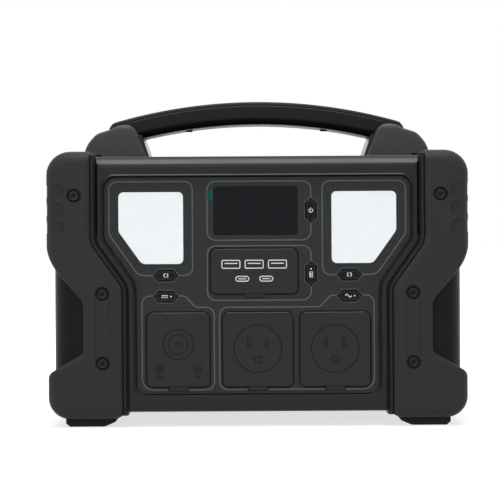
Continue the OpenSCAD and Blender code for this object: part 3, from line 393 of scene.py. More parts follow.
def mesh_from(name, points, faces, solid=True):
    """A mesh from points in millimetres above the guards' base; a solid, which cuts or is cut,
    also loses its faces without area."""
    mesh = bpy.data.meshes.new(name)
    mesh.from_pydata([(x * MM, y * MM, (z + BASE) * MM) for x, y, z in points], [], faces)

    def clean(work):
        bmesh.ops.remove_doubles(work, verts=work.verts, dist=SAME_POINT)
        if solid:
            bmesh.ops.dissolve_degenerate(work, edges=work.edges, dist=NO_AREA)
        bmesh.ops.recalc_face_normals(work, faces=work.faces)

    return edited(mesh, clean)


def piece_of(name, mesh, finish, slot, node=None, body="station", sharp=SHARP_ANGLE):
    """An object of a ready mesh, which stands for a CAD node if one is named."""
    mesh.materials.clear()
    obj = put(name, mesh)
    dress(obj, finish, 0, sharp)
    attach(obj, body)
    if node:
        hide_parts(node)


def piece(name, points, faces, *options, **more):
    """The same from points in millimetres above the guards' base."""
    piece_of(name, mesh_from(name, points, faces, solid=False), *options, **more)


def loft(rings, loop=False):
    """Points and faces between rings of equal length."""
    points = [p for ring in rings for p in ring]
    size = len(rings[0])
    faces = []
    last = len(rings) if loop else len(rings) - 1
    for k in range(last):
        for i in range(size):
            j = (i + 1) % size
            a, b = k * size, ((k + 1) % len(rings)) * size
            faces.append((a + i, a + j, b + j, b + i))
    if not loop:
        faces.append(tuple(range(size - 1, -1, -1)))
        faces.append(tuple(range((len(rings) - 1) * size, len(rings) * size)))
    return points, faces


def plate(corners, profile, steps=8, loop=False):
    """A solid over an outline: profile lists (inset, y) from its back to its front, or, for a
    loop, round the section of a ring."""
    rings = []
    for depth, y in profile:
        rings.append([(p.x, y, p.y) for p in rounded(inset(corners, depth), steps)])
    return loft(rings, loop)


def ribbon(path, width, y0, y1, closed):
    """A raised line along a path of (x, z) points, with softened edges."""
    count = len(path)
    rings = []
    for i, p in enumerate(path):
        a = path[i - 1] if closed or i else p
        b = path[(i + 1) % count] if closed or i < count - 1 else p
        along = (Vector(b) - Vector(a)).normalized()
        side = Vector((-along.y, along.x))
        h = width / 2
        low = y1 + 0.3 * (y0 - y1)
        section = ((-h, y0), (-h, low), (-h * 0.6, y1), (h * 0.6, y1), (h, low), (h, y0))
        rings.append([(p[0] + side.x * s, y, p[1] + side.y * s) for s, y in section])
    return loft(rings, loop=closed)


def resample(points, step):
    """Evenly spaced points along a closed outline."""
    result = []
    count = len(points)
    for i, p in enumerate(points):
        q = points[(i + 1) % count]
        gap = (Vector(q) - Vector(p)).length
        parts = max(1, int(round(gap / step)))
        result += [Vector(p).lerp(Vector(q), k / parts) for k in range(parts)]
    return result


def inside(p, outline):
    """Whether a point lies inside an outline."""
    hit = False
    for i, a in enumerate(outline):
        b = outline[i - 1]
        if (a[1] > p[1]) != (b[1] > p[1]):
            if p[0] < (b[0] - a[0]) * (p[1] - a[1]) / (b[1] - a[1]) + a[0]:
                hit = not hit
    return hit


def open_runs(points, holes):
    """The stretches of a closed path that lie outside all the holes, or None if it meets none."""
    keep = [not any(inside(p, hole) for hole in holes) for p in points]
    if all(keep):
        return None
    start = keep.index(False)
    order = list(range(start, len(points))) + list(range(start))
    runs, run = [], []
    for i in order:
        if keep[i]:
            run.append(points[i])
        elif run:
            runs.append(run)
            run = []
    if run:
        runs.append(run)
    return [r for r in runs if len(r) > 1]


def join(parts):
    """One list of points and faces from several."""
    points, faces = [], []
    for p, f in parts:
        faces += [tuple(i + len(points) for i in face) for face in f]
        points += p
    return points, faces


# ---- layout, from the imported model's own boxes
def low_high(name):
    """The corners of a CAD node's box, in millimetres."""
    a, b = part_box(name)
    return [v / MM for v in a], [v / MM for v in b]


def middle(name):
    """The middle of a CAD node in X and Z."""
    lo, hi = low_high(name)
    return (lo[0] + hi[0]) / 2, (lo[2] + hi[2]) / 2 - BASE


PANEL = low_high("front_panel")
PANEL_Y = PANEL[0][1]
PANEL_BACK = PANEL[1][1]
PANEL_LOW = PANEL[0][2] - BASE
PANEL_HIGH = PANEL[1][2] - BASE
MARGIN = 6.4
WAIST = 22.6
SEAM_UP = PANEL[1][0] + MARGIN
SEAM_LOW = SEAM_UP - WAIST
KINK_LOW, KINK_UP, KINK_R = 93.8, 125.4, 14.0
TURN = math.atan2(SEAM_UP - SEAM_LOW, KINK_UP - KINK_LOW)
HOUSE_LOW = low_high("front_shell")[0][2] - BASE
HOUSE_HIGH = low_high("front_shell")[1][2] - BASE
SPLIT_Y = low_high("front_shell")[1][1]


def seam(depth, low, high, r_low, r_high):
    """The outline of the housing between the guards, moved inwards by a depth."""
    lift = depth * math.tan(TURN / 2)
    right = [(SEAM_LOW - depth, low, r_low), (SEAM_LOW - depth, KINK_LOW + lift, KINK_R + depth),
             (SEAM_UP - depth, KINK_UP + lift, max(KINK_R - depth, 2)),
             (SEAM_UP - depth, high, r_high)]
    return right + mirrored(right)


def slope_x(depth, z):
    """X on the sloping part of that outline, at a height."""
    kink = KINK_LOW + depth * math.tan(TURN / 2)
    return SEAM_LOW - depth + (z - kink) * math.tan(TURN)


def lamp_corners(x0, x1, low, high, r):
    """The outline round a lamp, whose outer edge follows the slope of the housing."""
    depth = SEAM_UP - x1 + 1.2
    kink = KINK_LOW + depth * math.tan(TURN / 2) + (x1 - SEAM_LOW + depth) / math.tan(TURN)
    return [(x0, low, r), (slope_x(depth, low), low, r * 1.6), (x1, kink, r * 1.6),
            (x1, high, r), (x0, high, r)]


# ---- front frame with its rolled top bar and bead
# Each row is one ring of the moulding, from the seam over its rolled edges and the bead to the
# back of the panel: inset at the side, top and bottom, then y at the side, top and bottom.
FRAME = [
    (0.1, 0, 0, SPLIT_Y, SPLIT_Y, SPLIT_Y),
    (0.1, 0, 0, -82, -77.5, -80),
    (0.08, -0.4, 0, -88.3, -79, -81.5),
    (0.09, -0.65, 0, -88.8, -80.9, -83),
    (0.12, -0.7, 0, -88.98, -82.6, -84.0),
    (0.18, -0.65, 0, -89.1, -83.55, -85.2),
    (0.28, -0.45, 0.05, -89.2, -84.2, -86.4),
    (0.4, -0.1, 0.2, -89.3, -84.8, -87.4),
    (0.54, 0.3, 0.4, -89.39, -85.35, -88.1),
    (0.7, 0.8, 0.65, -89.48, -85.98, -88.7),
    (0.88, 1.4, 0.95, -89.57, -86.67, -89.2),
    (1.08, 2.1, 1.35, -89.65, -87.39, -89.6),
    (1.3, 2.9, 1.9, -89.73, -88.13, -89.95),
    (1.55, 3.7, 2.6, -89.8, -88.82, -90.2),
    (1.85, 4.5, 3.4, -89.87, -89.44, -90.38),
    (2.2, 5.2, 4.4, -89.94, -89.93, -90.45),
    (2.6, 5.9, 5.6, -90.0, -90.26, -90.45),
    (3.0, 6.8, 7.0, -90.05, -90.41, -90.4),
    (3.5, 9.0, 8.6, -90.05, -90.45, -90.3),
    (4.1, 11.2, 9.8, -89.95, -90.4, -90.15),
    (4.6, 12.05, 10.65, -89.85, -90.3, -90.0),
    (4.75, 12.15, 10.8, -90.2, -90.45, -90.05),
    (4.95, 12.45, 11.0, -90.75, -90.75, -90.1),
    (5.25, 12.85, 11.27, -91.12, -91.1, -90.1),
    (5.55, 13.1, 11.57, -91.15, -91.18, -90.1),
    (5.8, 13.3, 11.83, -90.95, -91.08, -90.0),
    (5.95, 13.45, 12, -90.5, -90.6, -89.8),
    (6.0, 13.5, 12.05, -89.0, -89.0, -89.0),
    (5.65, 13.5, 12.05, -88.75, -88.75, -88.75),
    (5.6, 13.5, 12.05, PANEL_BACK, PANEL_BACK, PANEL_BACK),
    (9.4, 17.3, 15.8, PANEL_BACK, PANEL_BACK, PANEL_BACK),
    (9.4, 17.3, 15.8, PANEL_BACK + 2, PANEL_BACK + 2, PANEL_BACK + 2),
    (3.1, 3, 3, PANEL_BACK + 2, PANEL_BACK + 2, PANEL_BACK + 2),
    (3.1, 3, 3, SPLIT_Y, SPLIT_Y, SPLIT_Y),
]
ROLL_FIRST, ROLL_END = 4, 20
ROLL = FRAME[ROLL_FIRST:ROLL_END]
ROLL_START = -87
CORNER_R, CORNER_GROWTH = 0.6, 8.2


def rolled_y(height, column, y_column):
    """The depth of the rolled edge at a height from it, along the top or the bottom."""
    for a, b in zip(ROLL, ROLL[1:]):
        if a[column] <= height <= b[column]:
            step = max(0.001, b[column] - a[column])
            return a[y_column] + (b[y_column] - a[y_column]) * (height - a[column]) / step
    return -999 if height > ROLL[0][column] else ROLL[0][y_column]


rings = []
for row, (side, top, bottom, y_side, y_top, y_bottom) in enumerate(FRAME):
    r_top = CORNER_R + CORNER_GROWTH * min(1, max(0, top - 4) / 9.5)
    r_bottom = CORNER_R + CORNER_GROWTH * min(1, bottom / 12.05)
    ring = []
    for p in rounded(seam(side, HOUSE_LOW + bottom, HOUSE_HIGH - top, r_bottom, r_top), 10):
        up = min(1, max(0, (p.y - (HOUSE_HIGH - top - r_top)) / r_top))
        down = min(1, max(0, ((HOUSE_LOW + bottom + r_bottom) - p.y) / r_bottom))
        y = y_side + (y_top - y_side) * up + (y_bottom - y_side) * down
        if ROLL_FIRST <= row < ROLL_END and y < ROLL_START:
            y = max(y, rolled_y(HOUSE_HIGH - p.y, 1, 4), rolled_y(p.y - HOUSE_LOW, 2, 5))
        ring.append((p.x, y, p.y))
    rings.append(ring)
piece("front_frame_moulding", *loft(rings, loop=True), "frame", "housing", "front_shell")


# ---- raised outlines on the panel and rings round the buttons
BUTTONS = {}  # the middle of each button, and whether it stands upright
for name in ("power_button", "usb_button", "lamp_button_left", "lamp_button_right",
             "dc_button", "ac_button"):
    lo, hi = low_high(name)
    BUTTONS[name] = (*middle(name), hi[2] - lo[2] > hi[0] - lo[0])


def pointed(place, length, height, soft=1.2):
    """The six-sided outline of a button with two pointed ends."""
    x, z, upright = place
    tip = height * 0.42
    end, half, blunt = length / 2, height / 2, soft * 1.6
    corners = [(-end, 0, soft), (-end + tip, -half, blunt), (end - tip, -half, blunt),
               (end, 0, soft), (end - tip, half, blunt), (-end + tip, half, blunt)]
    if upright:
        corners = [(-b, a, r) for a, b, r in corners]
    return [(x + a, z + b, r) for a, b, r in corners]


CENTRE_HALF = 36.8
MID = BUTTONS["power_button"][0] - CENTRE_HALF
TRIM_GAP = 3
TRIM_HIGH = PANEL_HIGH - TRIM_GAP
ROW_LOW = PANEL_LOW + TRIM_GAP
ROW_STEP, ROW_HIGH = ROW_LOW + 58.4, ROW_LOW + 66.6
LAMP_TRIM = (46.1, 105.3, TRIM_HIGH - 66.7, TRIM_HIGH, 5.5)
OUTLINES = [
    # display and USB
    box_area(MID - CENTRE_HALF, MID + CENTRE_HALF, TRIM_HIGH - 41.9, TRIM_HIGH, 6),
    box_area(MID - CENTRE_HALF, MID + CENTRE_HALF, TRIM_HIGH - 84.6, TRIM_HIGH - 45.9, 6),
    # lamps
    lamp_corners(*LAMP_TRIM),
    mirrored(lamp_corners(*LAMP_TRIM)),
    # DC and AC
    [(-82.2, ROW_LOW, 8), (-31, ROW_LOW, 5.5), (-31, ROW_STEP, 5.5), (-43.9, ROW_STEP, 3.5),
     (-51.6, ROW_HIGH, 3.5), (-82.2, ROW_HIGH, 5.5)],
    [(-27.2, ROW_LOW, 5.5), (82.6, ROW_LOW, 8), (82.6, ROW_HIGH, 5.5), (51.8, ROW_HIGH, 3.5),
     (44.1, ROW_STEP, 3.5), (-27.2, ROW_STEP, 5.5)],
]
COVERS = ("usb_cover", "dc_cover", "ac_cover_left", "ac_cover_right")
COVER_TAB = 2.6
TABS = []
for name in COVERS:
    x, low = middle(name)[0], low_high(name)[0][2] - BASE + COVER_TAB
    TABS.append(box_area(x - 7.2, x + 7.2, low - 3.2, low + 1, 0.1))
holes = [rounded(pointed(place, 18.8, 9.2)) for place in BUTTONS.values()]
holes += [rounded(tab, 1) for tab in TABS]
LINE_WIDTH, LINE_BACK, LINE_FRONT = 0.95, PANEL_Y + 0.05, PANEL_Y - 0.22
parts = []
for corners in OUTLINES:
    path = resample(rounded(corners, 10), 0.7)
    runs = open_runs(path, holes)
    if runs is None:
        parts.append(ribbon(path, LINE_WIDTH, LINE_BACK, LINE_FRONT, True))
    else:
        parts += [ribbon(run, LINE_WIDTH, LINE_BACK, LINE_FRONT, False) for run in runs]
piece("panel_outlines", *join(parts), "line", "panel")
# black bands in the gap round each button, which paint its shade, and thin outline rings
gap_shades, rings = [], []
for place in BUTTONS.values():
    bezel, ring = rounded(pointed(place, 17.3, 7.7), 5), rounded(pointed(place, 18.9, 9.3), 5)
    gap_shades.append(ribbon(bezel, 1.15, LINE_BACK, PANEL_Y - 0.16, True))
    rings.append(ribbon(ring, 0.42, LINE_BACK, PANEL_Y - 0.2, True))
piece("button_gap_shades", *join(gap_shades), "bezel", "panel")
piece("button_rings", *join(rings), "line", "panel")


# ---- symbols on the buttons
def strokes(paths, width, y0, y1):
    """Raised lines along (path, closed) pairs, joined in one mesh."""
    parts = [ribbon([Vector(p) for p in path], width, y0, y1, closed) for path, closed in paths]
    return join(parts)


def around(x, z, r, angles):
    """Points round a middle, at angles in radians."""
    return [(x + r * math.cos(a), z + r * math.sin(a)) for a in angles]


def full_turn(sides):
    """Evenly spaced angles round a circle."""
    return [2 * math.pi * i / sides for i in range(sides)]


def arc(x, z, r, start, end, steps=18):
    """Points of an arc, from angles in degrees."""
    degrees = [start + (end - start) * i / steps for i in range(steps + 1)]
    return around(x, z, r, [math.radians(d) for d in degrees])


def circle(x, z, r, steps=64):
    """A circle as a (path, closed) pair."""
    return around(x, z, r, full_turn(steps)), True


def loop(corners, steps):
    """A rounded outline as a (path, closed) pair."""
    return [(p.x, p.y) for p in rounded(corners, steps)], True


def turned(paths, x, z, degrees=0, scale=1.0):
    """The same (path, closed) pairs turned, scaled and moved to a place."""
    c, s = math.cos(math.radians(degrees)) * scale, math.sin(math.radians(degrees)) * scale
    return [([(x + a * c - b * s, z + a * s + b * c) for a, b in path], closed)
            for path, closed in paths]


SYMBOLS = {
    "standby": [(arc(0, 0, 1.3, 130, 410), False), ([(0, 0.5), (0, 1.9)], False)],
    "direct": [([(-2.2, 0.65), (2.2, 0.65)], False), ([(-2.2, -0.65), (-1.2, -0.65)], False),
               ([(-0.5, -0.65), (0.5, -0.65)], False), ([(1.2, -0.65), (2.2, -0.65)], False)],
    "wave": [([(-2.3 + 4.6 * i / 24, 0.95 * math.sin(2 * math.pi * i / 24)) for i in range(25)],
              False)],
    "lamp": [(arc(-0.2, 0, 1.25, 90, 270, 12), False), ([(-0.2, 1.25), (-0.2, -1.25)], True),
             ([(0.7, 0.95), (1.7, 1.2)], False), ([(0.75, 0), (1.9, 0)], False),
             ([(0.7, -0.95), (1.7, -1.2)], False)],
    "port": [([(-2, -0.9), (2, -0.9), (2, 0.9), (-2, 0.9)], True),
             ([(-1.2, 0.15), (1.2, 0.15)], False)],
    "dot": [(arc(0, 0, 0.28, 0, 330, 8), True)],
}
BUTTON_FACE = low_high("power_button")[0][1]
FACE_SYMBOLS = {  # symbol, x and z from the middle of the button, and its turn
    "power_button": [("standby", 0, 0, 0)],
    "usb_button": [("port", 0, -0.6, 90), ("dot", 0, 3.4, 0)],
    "lamp_button_left": [("lamp", 0, 0, 0)],
    "lamp_button_right": [("lamp", 0, 0, 180)],
    "dc_button": [("direct", -0.8, 0, 0), ("dot", 3.6, 0, 0)],
    "ac_button": [("wave", -0.8, 0, 0), ("dot", 3.6, 0, 0)],
}
RIDGE_LONG, RIDGE_SHORT = 6.9, 2.55
for name, marks in FACE_SYMBOLS.items():
    x, z, upright = BUTTONS[name]
    paths = []
    for mark, dx, dz, degrees in marks:
        paths += turned(SYMBOLS[mark], x + dx, z + dz, degrees)
    symbol = strokes(paths, 0.62, BUTTON_FACE + 0.02, BUTTON_FACE - 0.04)
    piece("symbol_" + name, *symbol, "ink", "buttons", body=name + "_body")
    half_l, half_h = (RIDGE_SHORT, RIDGE_LONG) if upright else (RIDGE_LONG, RIDGE_SHORT)
    # the pill edge takes the lighter grey: a painted highlight on the raised edge
    pill = loop(box_area(x - half_l, x + half_l, z - half_h, z + half_h, 2.5), 8)
    ridge = strokes([pill], 0.34, BUTTON_FACE + 0.05, BUTTON_FACE - 0.12)
    piece("edge_highlight_" + name, *ridge, "ridge", "buttons", body=name + "_body")


# ---- marks on the covers: moulded lines darkened with painted shade, and printed port marks
COVER_FACE = low_high("dc_cover")[0][1]


socket = middle("vehicle_socket")
jacks = [middle("jack_left"), middle("jack_right")]
dc_marks = [circle(*socket, 10.7), circle(*socket, 6.85)] + [circle(*j, 2.8) for j in jacks]
dc_marks += turned(SYMBOLS["direct"], *socket, 0, 1.15)
for j in jacks:
    dc_marks += turned(SYMBOLS["direct"], j[0], j[1] - 5.6, 0, 0.75) + [circle(*j, 0.9, 20)]
MARK_BACK, MARK_FRONT = COVER_FACE + 0.05, COVER_FACE - 0.12
piece("marks_dc_cover", *strokes(dc_marks, 0.5, MARK_BACK, MARK_FRONT), "cover_line", "covers",
      body="dc_cover_body")
for side in ("left", "right"):
    x, z = middle("ac_outlet_" + side)
    z += 0.5  # the face on the cover is a little above the outlet behind it
    marks = [circle(x, z, 16.9)]
    for s in (-1, 1):
        slit = x + s * 6.35
        marks.append(([(slit - 0.9, z + 0.2), (slit + 0.9, z + 0.2), (slit + 0.9, z + 7.6),
                       (slit - 0.9, z + 7.6)], True))
    earth = arc(x, z - 7.6, 2.4, -180, 0, 16) + [(x + 2.4, z - 5.6), (x - 2.4, z - 5.6)]
    marks.append((earth, True))
    piece("marks_ac_cover_" + side, *strokes(marks, 0.5, MARK_BACK, MARK_FRONT), "cover_line",
          "covers", body=f"ac_cover_{side}_body")
x, z = middle("usb_cover")
z += 1.3
marks = []  # three wide ports over two narrow ones
for dx in (-16.5, 0, 16.5):
    marks.append(loop(box_area(x + dx - 6.4, x + dx + 6.4, z + 2.2, z + 7.8, 0.8), 3))
    marks.append(([(x + dx - 4.6, z + 5.6), (x + dx + 4.6, z + 5.6)], False))
for dx in (-8.5, 8.5):
    marks.append(loop(box_area(x + dx - 4.6, x + dx + 4.6, z - 7, z - 3.6, 1.65), 5))
    marks.append(([(x + dx - 2.8, z - 5.3), (x + dx + 2.8, z - 5.3)], False))
piece("marks_usb_cover", *strokes(marks, 0.72, MARK_BACK, COVER_FACE - 0.1), "ink", "covers",
      body="usb_cover_body")


# ---- film over the display, with its pull tab
DISPLAY = low_high("display_window")
FILM_GAP = 1.4
x0 = DISPLAY[0][0] + FILM_GAP
z1 = DISPLAY[1][2] - BASE - FILM_GAP
face = DISPLAY[0][1]
tab = plate(box_area(x0 - 4.6, x0 - 1.6, z1 - 9.0, z1 - 2.0, 0.25),
            [(0, face - 0.02), (0, face - 0.1), (0.08, face - 0.16)], 2)
piece("film_tab", *tab, "tab", "window")
strip = plate(box_area(x0 - 1.65, x0 - 0.7, z1 - 9.2, z1 - 1.9, 0.2),
              [(0, face - 0.02), (0, face - 0.08), (0.05, face - 0.12)], 2)
piece("film_strip", *strip, "film", "window")


# ---- solids cut from one another
def combined(name, mesh, others, operation="DIFFERENCE"):
    """A mesh after cuts by, or its common part with, the other meshes."""
    made = [put(name, mesh)] + [put("cutter", m) for m in others]
    for cutter in made[1:]:
        mod = made[0].modifiers.new("cut", "BOOLEAN")
        mod.operation = operation
        mod.solver = "EXACT"
        mod.object = cutter
    graph = bpy.context.evaluated_depsgraph_get()
    result = bpy.data.meshes.new_from_object(made[0].evaluated_get(graph))
    for obj in made:
        bpy.data.objects.remove(obj)
    return result


def welded(name):
    """A copy of a node's mesh with its split corners joined."""
    return edited(NODES[name].data.copy(), lambda work: bmesh.ops.remove_doubles(
        work, verts=work.verts, dist=SAME_CAD_POINT))


def mirror_mesh(mesh):
    """A copy of a mesh on the other side of X = 0."""
    def turn_over(work):
        for v in work.verts:
            v.co.x = -v.co.x
        bmesh.ops.reverse_faces(work, faces=work.faces)

    return edited(mesh.copy(), turn_over)


def edge_offset(corners, amounts):
    """The outline with edge i, from corner i to the next, moved inwards by amounts[i]."""
    result = []
    for i, (a, b, radius, u, v, n1, n2) in enumerate(corner_lines(corners)):
        d1, d2 = amounts[i - 1], amounts[i]
        p, q = a + n1 * d1, b + n2 * d2
        cross = u.x * v.y - u.y * v.x
        new = p + u * (((q.x - p.x) * v.y - (q.y - p.y) * v.x) / cross)
        middle = (d1 + d2) / 2
        result.append((new.x, new.y, max(0.3, radius - middle if cross > 0 else radius + middle)))
    return result


def rolled(corners, edges, y_front, y_rear, depths, steps=8):
    """A solid over an outline whose edges roll over into its front and rear; edges lists
    (inset, depth) for each edge."""
    rings = []
    for u in depths:
        amounts = [a * (1 - math.sqrt(max(0, 1 - (1 - min(1, u / b)) ** 2))) for a, b in edges]
        rings.append([(p.x, u, p.y) for p in rounded(edge_offset(corners, amounts), steps)])
    front = [[(x, y_front + u, z) for x, u, z in ring] for ring in rings]
    rear = [[(x, y_rear - u, z) for x, u, z in ring] for ring in reversed(rings)]
    return loft(front + rear)


def rod(x, z, stations, sides=40):
    """A turned solid along Y from (y, radius) stations."""
    return loft([[(px, y, pz) for px, pz in around(x, z, r, full_turn(sides))]
                 for y, r in stations])


# ---- covers, with rolled edges and a shallow step inside them
COVER_EDGE = [(-3, 1.25), (-3, -1), (1.5, -1), (1.5, -0.02), (1.2, 0.06), (0.9, 0.24),
              (0.6, 0.48), (0.3, 0.73), (0.12, 0.92), (0.0, 1.12), (-0.03, 1.25)]
COVER_STEP = [(1.75, -1), (1.75, -0.02), (1.95, 0.1), (2.2, 0.14), (2.45, 0.14), (2.7, 0.1),
              (2.9, -0.02), (2.9, -1)]
for name in COVERS:
    lo, hi = low_high(name)
    corners = box_area(lo[0], hi[0], lo[2] - BASE + COVER_TAB, hi[2] - BASE, 4.1)
    cuts = []
    for section in (COVER_EDGE, COVER_STEP):
        ring = plate(corners, [(depth, lo[1] + y) for depth, y in section], loop=True)
        cuts.append(mesh_from("ring", *ring))
    mesh = combined(name, welded(name), cuts)
    piece_of("shaped_" + name, mesh, "cover", "covers", name, name + "_body")


# ---- side guards
GAP = low_high("side_guard_right")[0][0] - SEAM_LOW
IN_LOW, IN_UP = SEAM_LOW + GAP, SEAM_UP + GAP
DROP = GAP * math.tan(TURN / 2)
GUARD_OUTLINE = [(IN_LOW, 2.4, 1), (IN_LOW + 4.5, 0, 1), (HALF_W - 1, 0, 15),
                 (HALF_W - 1, 31.8, 6), (HALF_W - 26.2, 46.8, 5), (HALF_W - 26.2, 82.8, 10),
                 (HALF_W, 113.7, 28), (HALF_W, GUARD_H, 17), (IN_UP, GUARD_H, 2),
                 (IN_UP, KINK_UP - DROP, KINK_R + GAP), (IN_LOW, KINK_LOW - DROP, KINK_R - GAP)]
# how far each edge of that outline rolls over: inwards and in depth
GUARD_EDGES = [(1.5, 1.5), (6, 6.5), (9.5, 9.5), (3.2, 3.0), (2.6, 2.6), (3.0, 2.8), (9.5, 9.5),
               (9, 10), (4.2, 2.7), (3.6, 2.6), (2.6, 2.2)]
DEPTHS = [0, 0.04, 0.15, 0.35, 0.65, 1.05, 1.5, 2.0, 2.6, 3.3, 4.2, 5.2, 6.5, 8.0, 9.5, 12]
SPARE = 0.01
guard_form = rolled(edge_offset(GUARD_OUTLINE, [-SPARE] * 11), GUARD_EDGES, -HALF_D - SPARE,
                    HALF_D + SPARE, DEPTHS)
guard_form = mesh_from("guard_form", *guard_form)


def pocket(z, end):
    """A finger pocket with sloping walls that wraps round an upright edge of the guard."""
    turn_r, reach_in, reach_side, half = 9.5, 13.4, 32.0, 4.5
    flat, steps = reach_in - turn_r, 10
    path = [(HALF_W - reach_in + flat * i / steps, -HALF_D, 0) for i in range(steps)]
    path += [(HALF_W - turn_r + turn_r * math.sin(a), -HALF_D + turn_r - turn_r * math.cos(a), a)
             for a in (math.pi / 2 * i / 12 for i in range(13))]
    path += [(HALF_W, -HALF_D + turn_r + (reach_side - turn_r) * i / 14, math.pi / 2)
             for i in range(1, 15)]
    length = [0.0]
    for a, b in zip(path, path[1:]):
        length.append(length[-1] + math.dist(a[:2], b[:2]))
    rings = []
    for (x, y, a), at in zip(path, length):
        near = min(at, length[-1] - at)
        h = half * math.sqrt(max(0.0, 1 - (1 - min(1, near / half)) ** 2))
        out = Vector((math.sin(a), -math.cos(a)))
        fade = 1 - 0.7 * math.sin(a)
        walls = [(-0.5, 0.4), (0.0, 0.05), (0.8 * fade, -0.2), (1.25 * fade, -0.65)]
        ring = []
        for up, order in ((1, walls), (-1, walls[::-1])):
            for depth, grow in order:
                side = max(0.02, h + grow) if near > 0.01 else 0.02
                ring.append((x - out.x * depth, (y - out.y * depth) * (-end), z + up * side))
        rings.append(ring)
    return mesh_from("pocket", *loft(rings))


# the middles of a guard's screws: the top one, then the two in its recess
SCREWS = [(HALF_W - 20.3, GUARD_H - 31.7), (HALF_W - 40.1, 39.5), (HALF_W - 40.1, 88.7)]
SINK = [(-0.5, 5.9), (0.15, 5.25), (0.8, 4.82)]
cutters = []
for x, z in SCREWS:
    for end in (-1, 1):
        sink = [(end * (HALF_D - depth), r) for depth, r in SINK]
        cutters.append(mesh_from("sink", *rod(x, z, sink if end < 0 else sink[::-1])))
POCKET_DROP, POCKET_STEP, POCKET_HALF = 28.4, 12.9, 4.4
POCKETS = [GUARD_H - POCKET_DROP - POCKET_STEP * i for i in range(3)]


def into(end, depth):
    """Y from just outside a guard's front (end -1) or rear (end 1) to a depth inside it."""
    return sorted((end * (HALF_D + 0.5), end * (HALF_D - depth)))


def block(x0, x1, y0, y1, z0, z1):
    """A plain block, used only to fill or cut."""
    return mesh_from("block", *loft([[(x0, y, z0), (x1, y, z0), (x1, y, z1), (x0, y, z1)]
                                     for y in (y0, y1)]))


fillers = []
for z in POCKETS:
    for end in (-1, 1):
        height = (z - POCKET_HALF, z + POCKET_HALF)
        fillers.append(block(HALF_W - 3.9, HALF_W + 0.5, *into(end, 34), *height))
        fillers.append(block(HALF_W - 14.5, HALF_W - 2, *into(end, 3.6), *height))
guard_mesh = combined("guard", welded("side_guard_right"), fillers, "UNION")
guard_mesh = combined("guard", guard_mesh, [guard_form], "INTERSECT")
cutters += [pocket(z, end) for z in POCKETS for end in (-1, 1)]
GROOVE_X, GROOVE_END = 5.35, 4
for x in (SCREWS[1][0] - GROOVE_X, SCREWS[1][0] + GROOVE_X):
    for end in (-1, 1):
        cutters.append(block(x - 0.2, x + 0.2, *into(end, 0.2), SCREWS[1][1] + GROOVE_END,
                             SCREWS[2][1] - GROOVE_END))
guard_mesh = combined("guard", guard_mesh, cutters)
piece_of("guard_right", guard_mesh, "guard", "guards", "side_guard_right")
piece_of("guard_left", mirror_mesh(guard_mesh), "guard", "guards", "side_guard_left")


# ---- side covers, with a rounded rim beside the guards
RIM_STEP, RIM_FOOT = 90.9, 88.05
RIM_SECTION = [(-2.3, 0), (-2.3, 1.05), (-2.0, 1.6), (-1.7, 2.3), (-1.4, 2.95), (-1.05, 3.6),
               (-0.6, 4.2), (-0.1, 4.66), (0.35, 4.87), (0.75, 4.84), (1.15, 4.6), (1.48, 4.25),
               (1.68, 3.8), (1.68, 0)]
rim_cutters = []
for end in (-1, 1):
    out, back = end * 97, end * RIM_STEP
    band = [(0.35, out), (0.35, back), (-3.6, back), (-3.6, out)]
    ring = plate(seam(0, -20, GUARD_H + 20, 1, 1), band, loop=True)
    rim_cutters.append(mesh_from("band", *ring))
side_mesh = combined("side", welded("side_cover_right"), rim_cutters)
# the side shells take that darkened finish, which paints shade
piece_of("side_shell_right", side_mesh, "side", "side_covers", "side_cover_right")
piece_of("side_shell_left", mirror_mesh(side_mesh), "side", "side_covers", "side_cover_left")


def rim(end):
    """The rounded rim beside the right guard, at the front (end -1) or the rear (end 1)."""
    low, high = 2.3, 188.1
    corners = [(x, z) for x, z, _ in seam(-1.7, low, high, 1, 1)[:4]]
    path = [Vector((corners[0][0], low + t)) for t in (0, 0.1, 0.4, 0.9, 1.5)]
    path += arc_corner(corners[0], corners[1], corners[2], KINK_R - 1.7, 12)
    path += arc_corner(corners[1], corners[2], corners[3], KINK_R + 1.7, 12)
    path += [Vector((corners[3][0], high - t)) for t in (1.5, 0.9, 0.4, 0.1, 0)]
    rings = []
    for i, p in enumerate(path):
        along = (path[min(i + 1, len(path) - 1)] - path[max(i - 1, 0)]).normalized()
        across = Vector((along.y, -along.x))
        near = min(p.y - low, high - p.y)
        k = math.sqrt(max(0.0, 1 - (1 - min(1, (near + 0.02) / 1.5)) ** 2))
        k = 0.62 + 0.38 * k
        rings.append([(p.x + across.x * s, end * (RIM_FOOT + h * k), p.y + across.y * s)
                      for s, h in RIM_SECTION])
    return loft(rings)


for end, label in ((-1, "front"), (1, "rear")):
    strip = mesh_from("rim", *rim(end))
    piece_of(f"rim_{label}_right", strip, "rim", "side_covers", sharp=50)
    piece_of(f"rim_{label}_left", mirror_mesh(strip), "rim", "side_covers", sharp=50)


# ---- screw heads with a hexagon socket
HEAD_RINGS = [  # lift from the face, radius, and how far the ring is a hexagon
    (-2.6, 3.7, 0), (-0.75, 3.7, 0), (-0.4, 3.62, 0), (-0.15, 3.42, 0), (-0.03, 3.12, 0),
    (0, 2.75, 0), (-0.12, 2.3, 0), (-0.16, 1.98, 1), (-0.3, 1.86, 1), (-1.1, 1.8, 1),
    (-1.15, 1.2, 0.3), (-0.75, 0.85, 0), (-0.5, 0.55, 0), (-0.4, 0.3, 0), (-0.37, 0.1, 0),
]


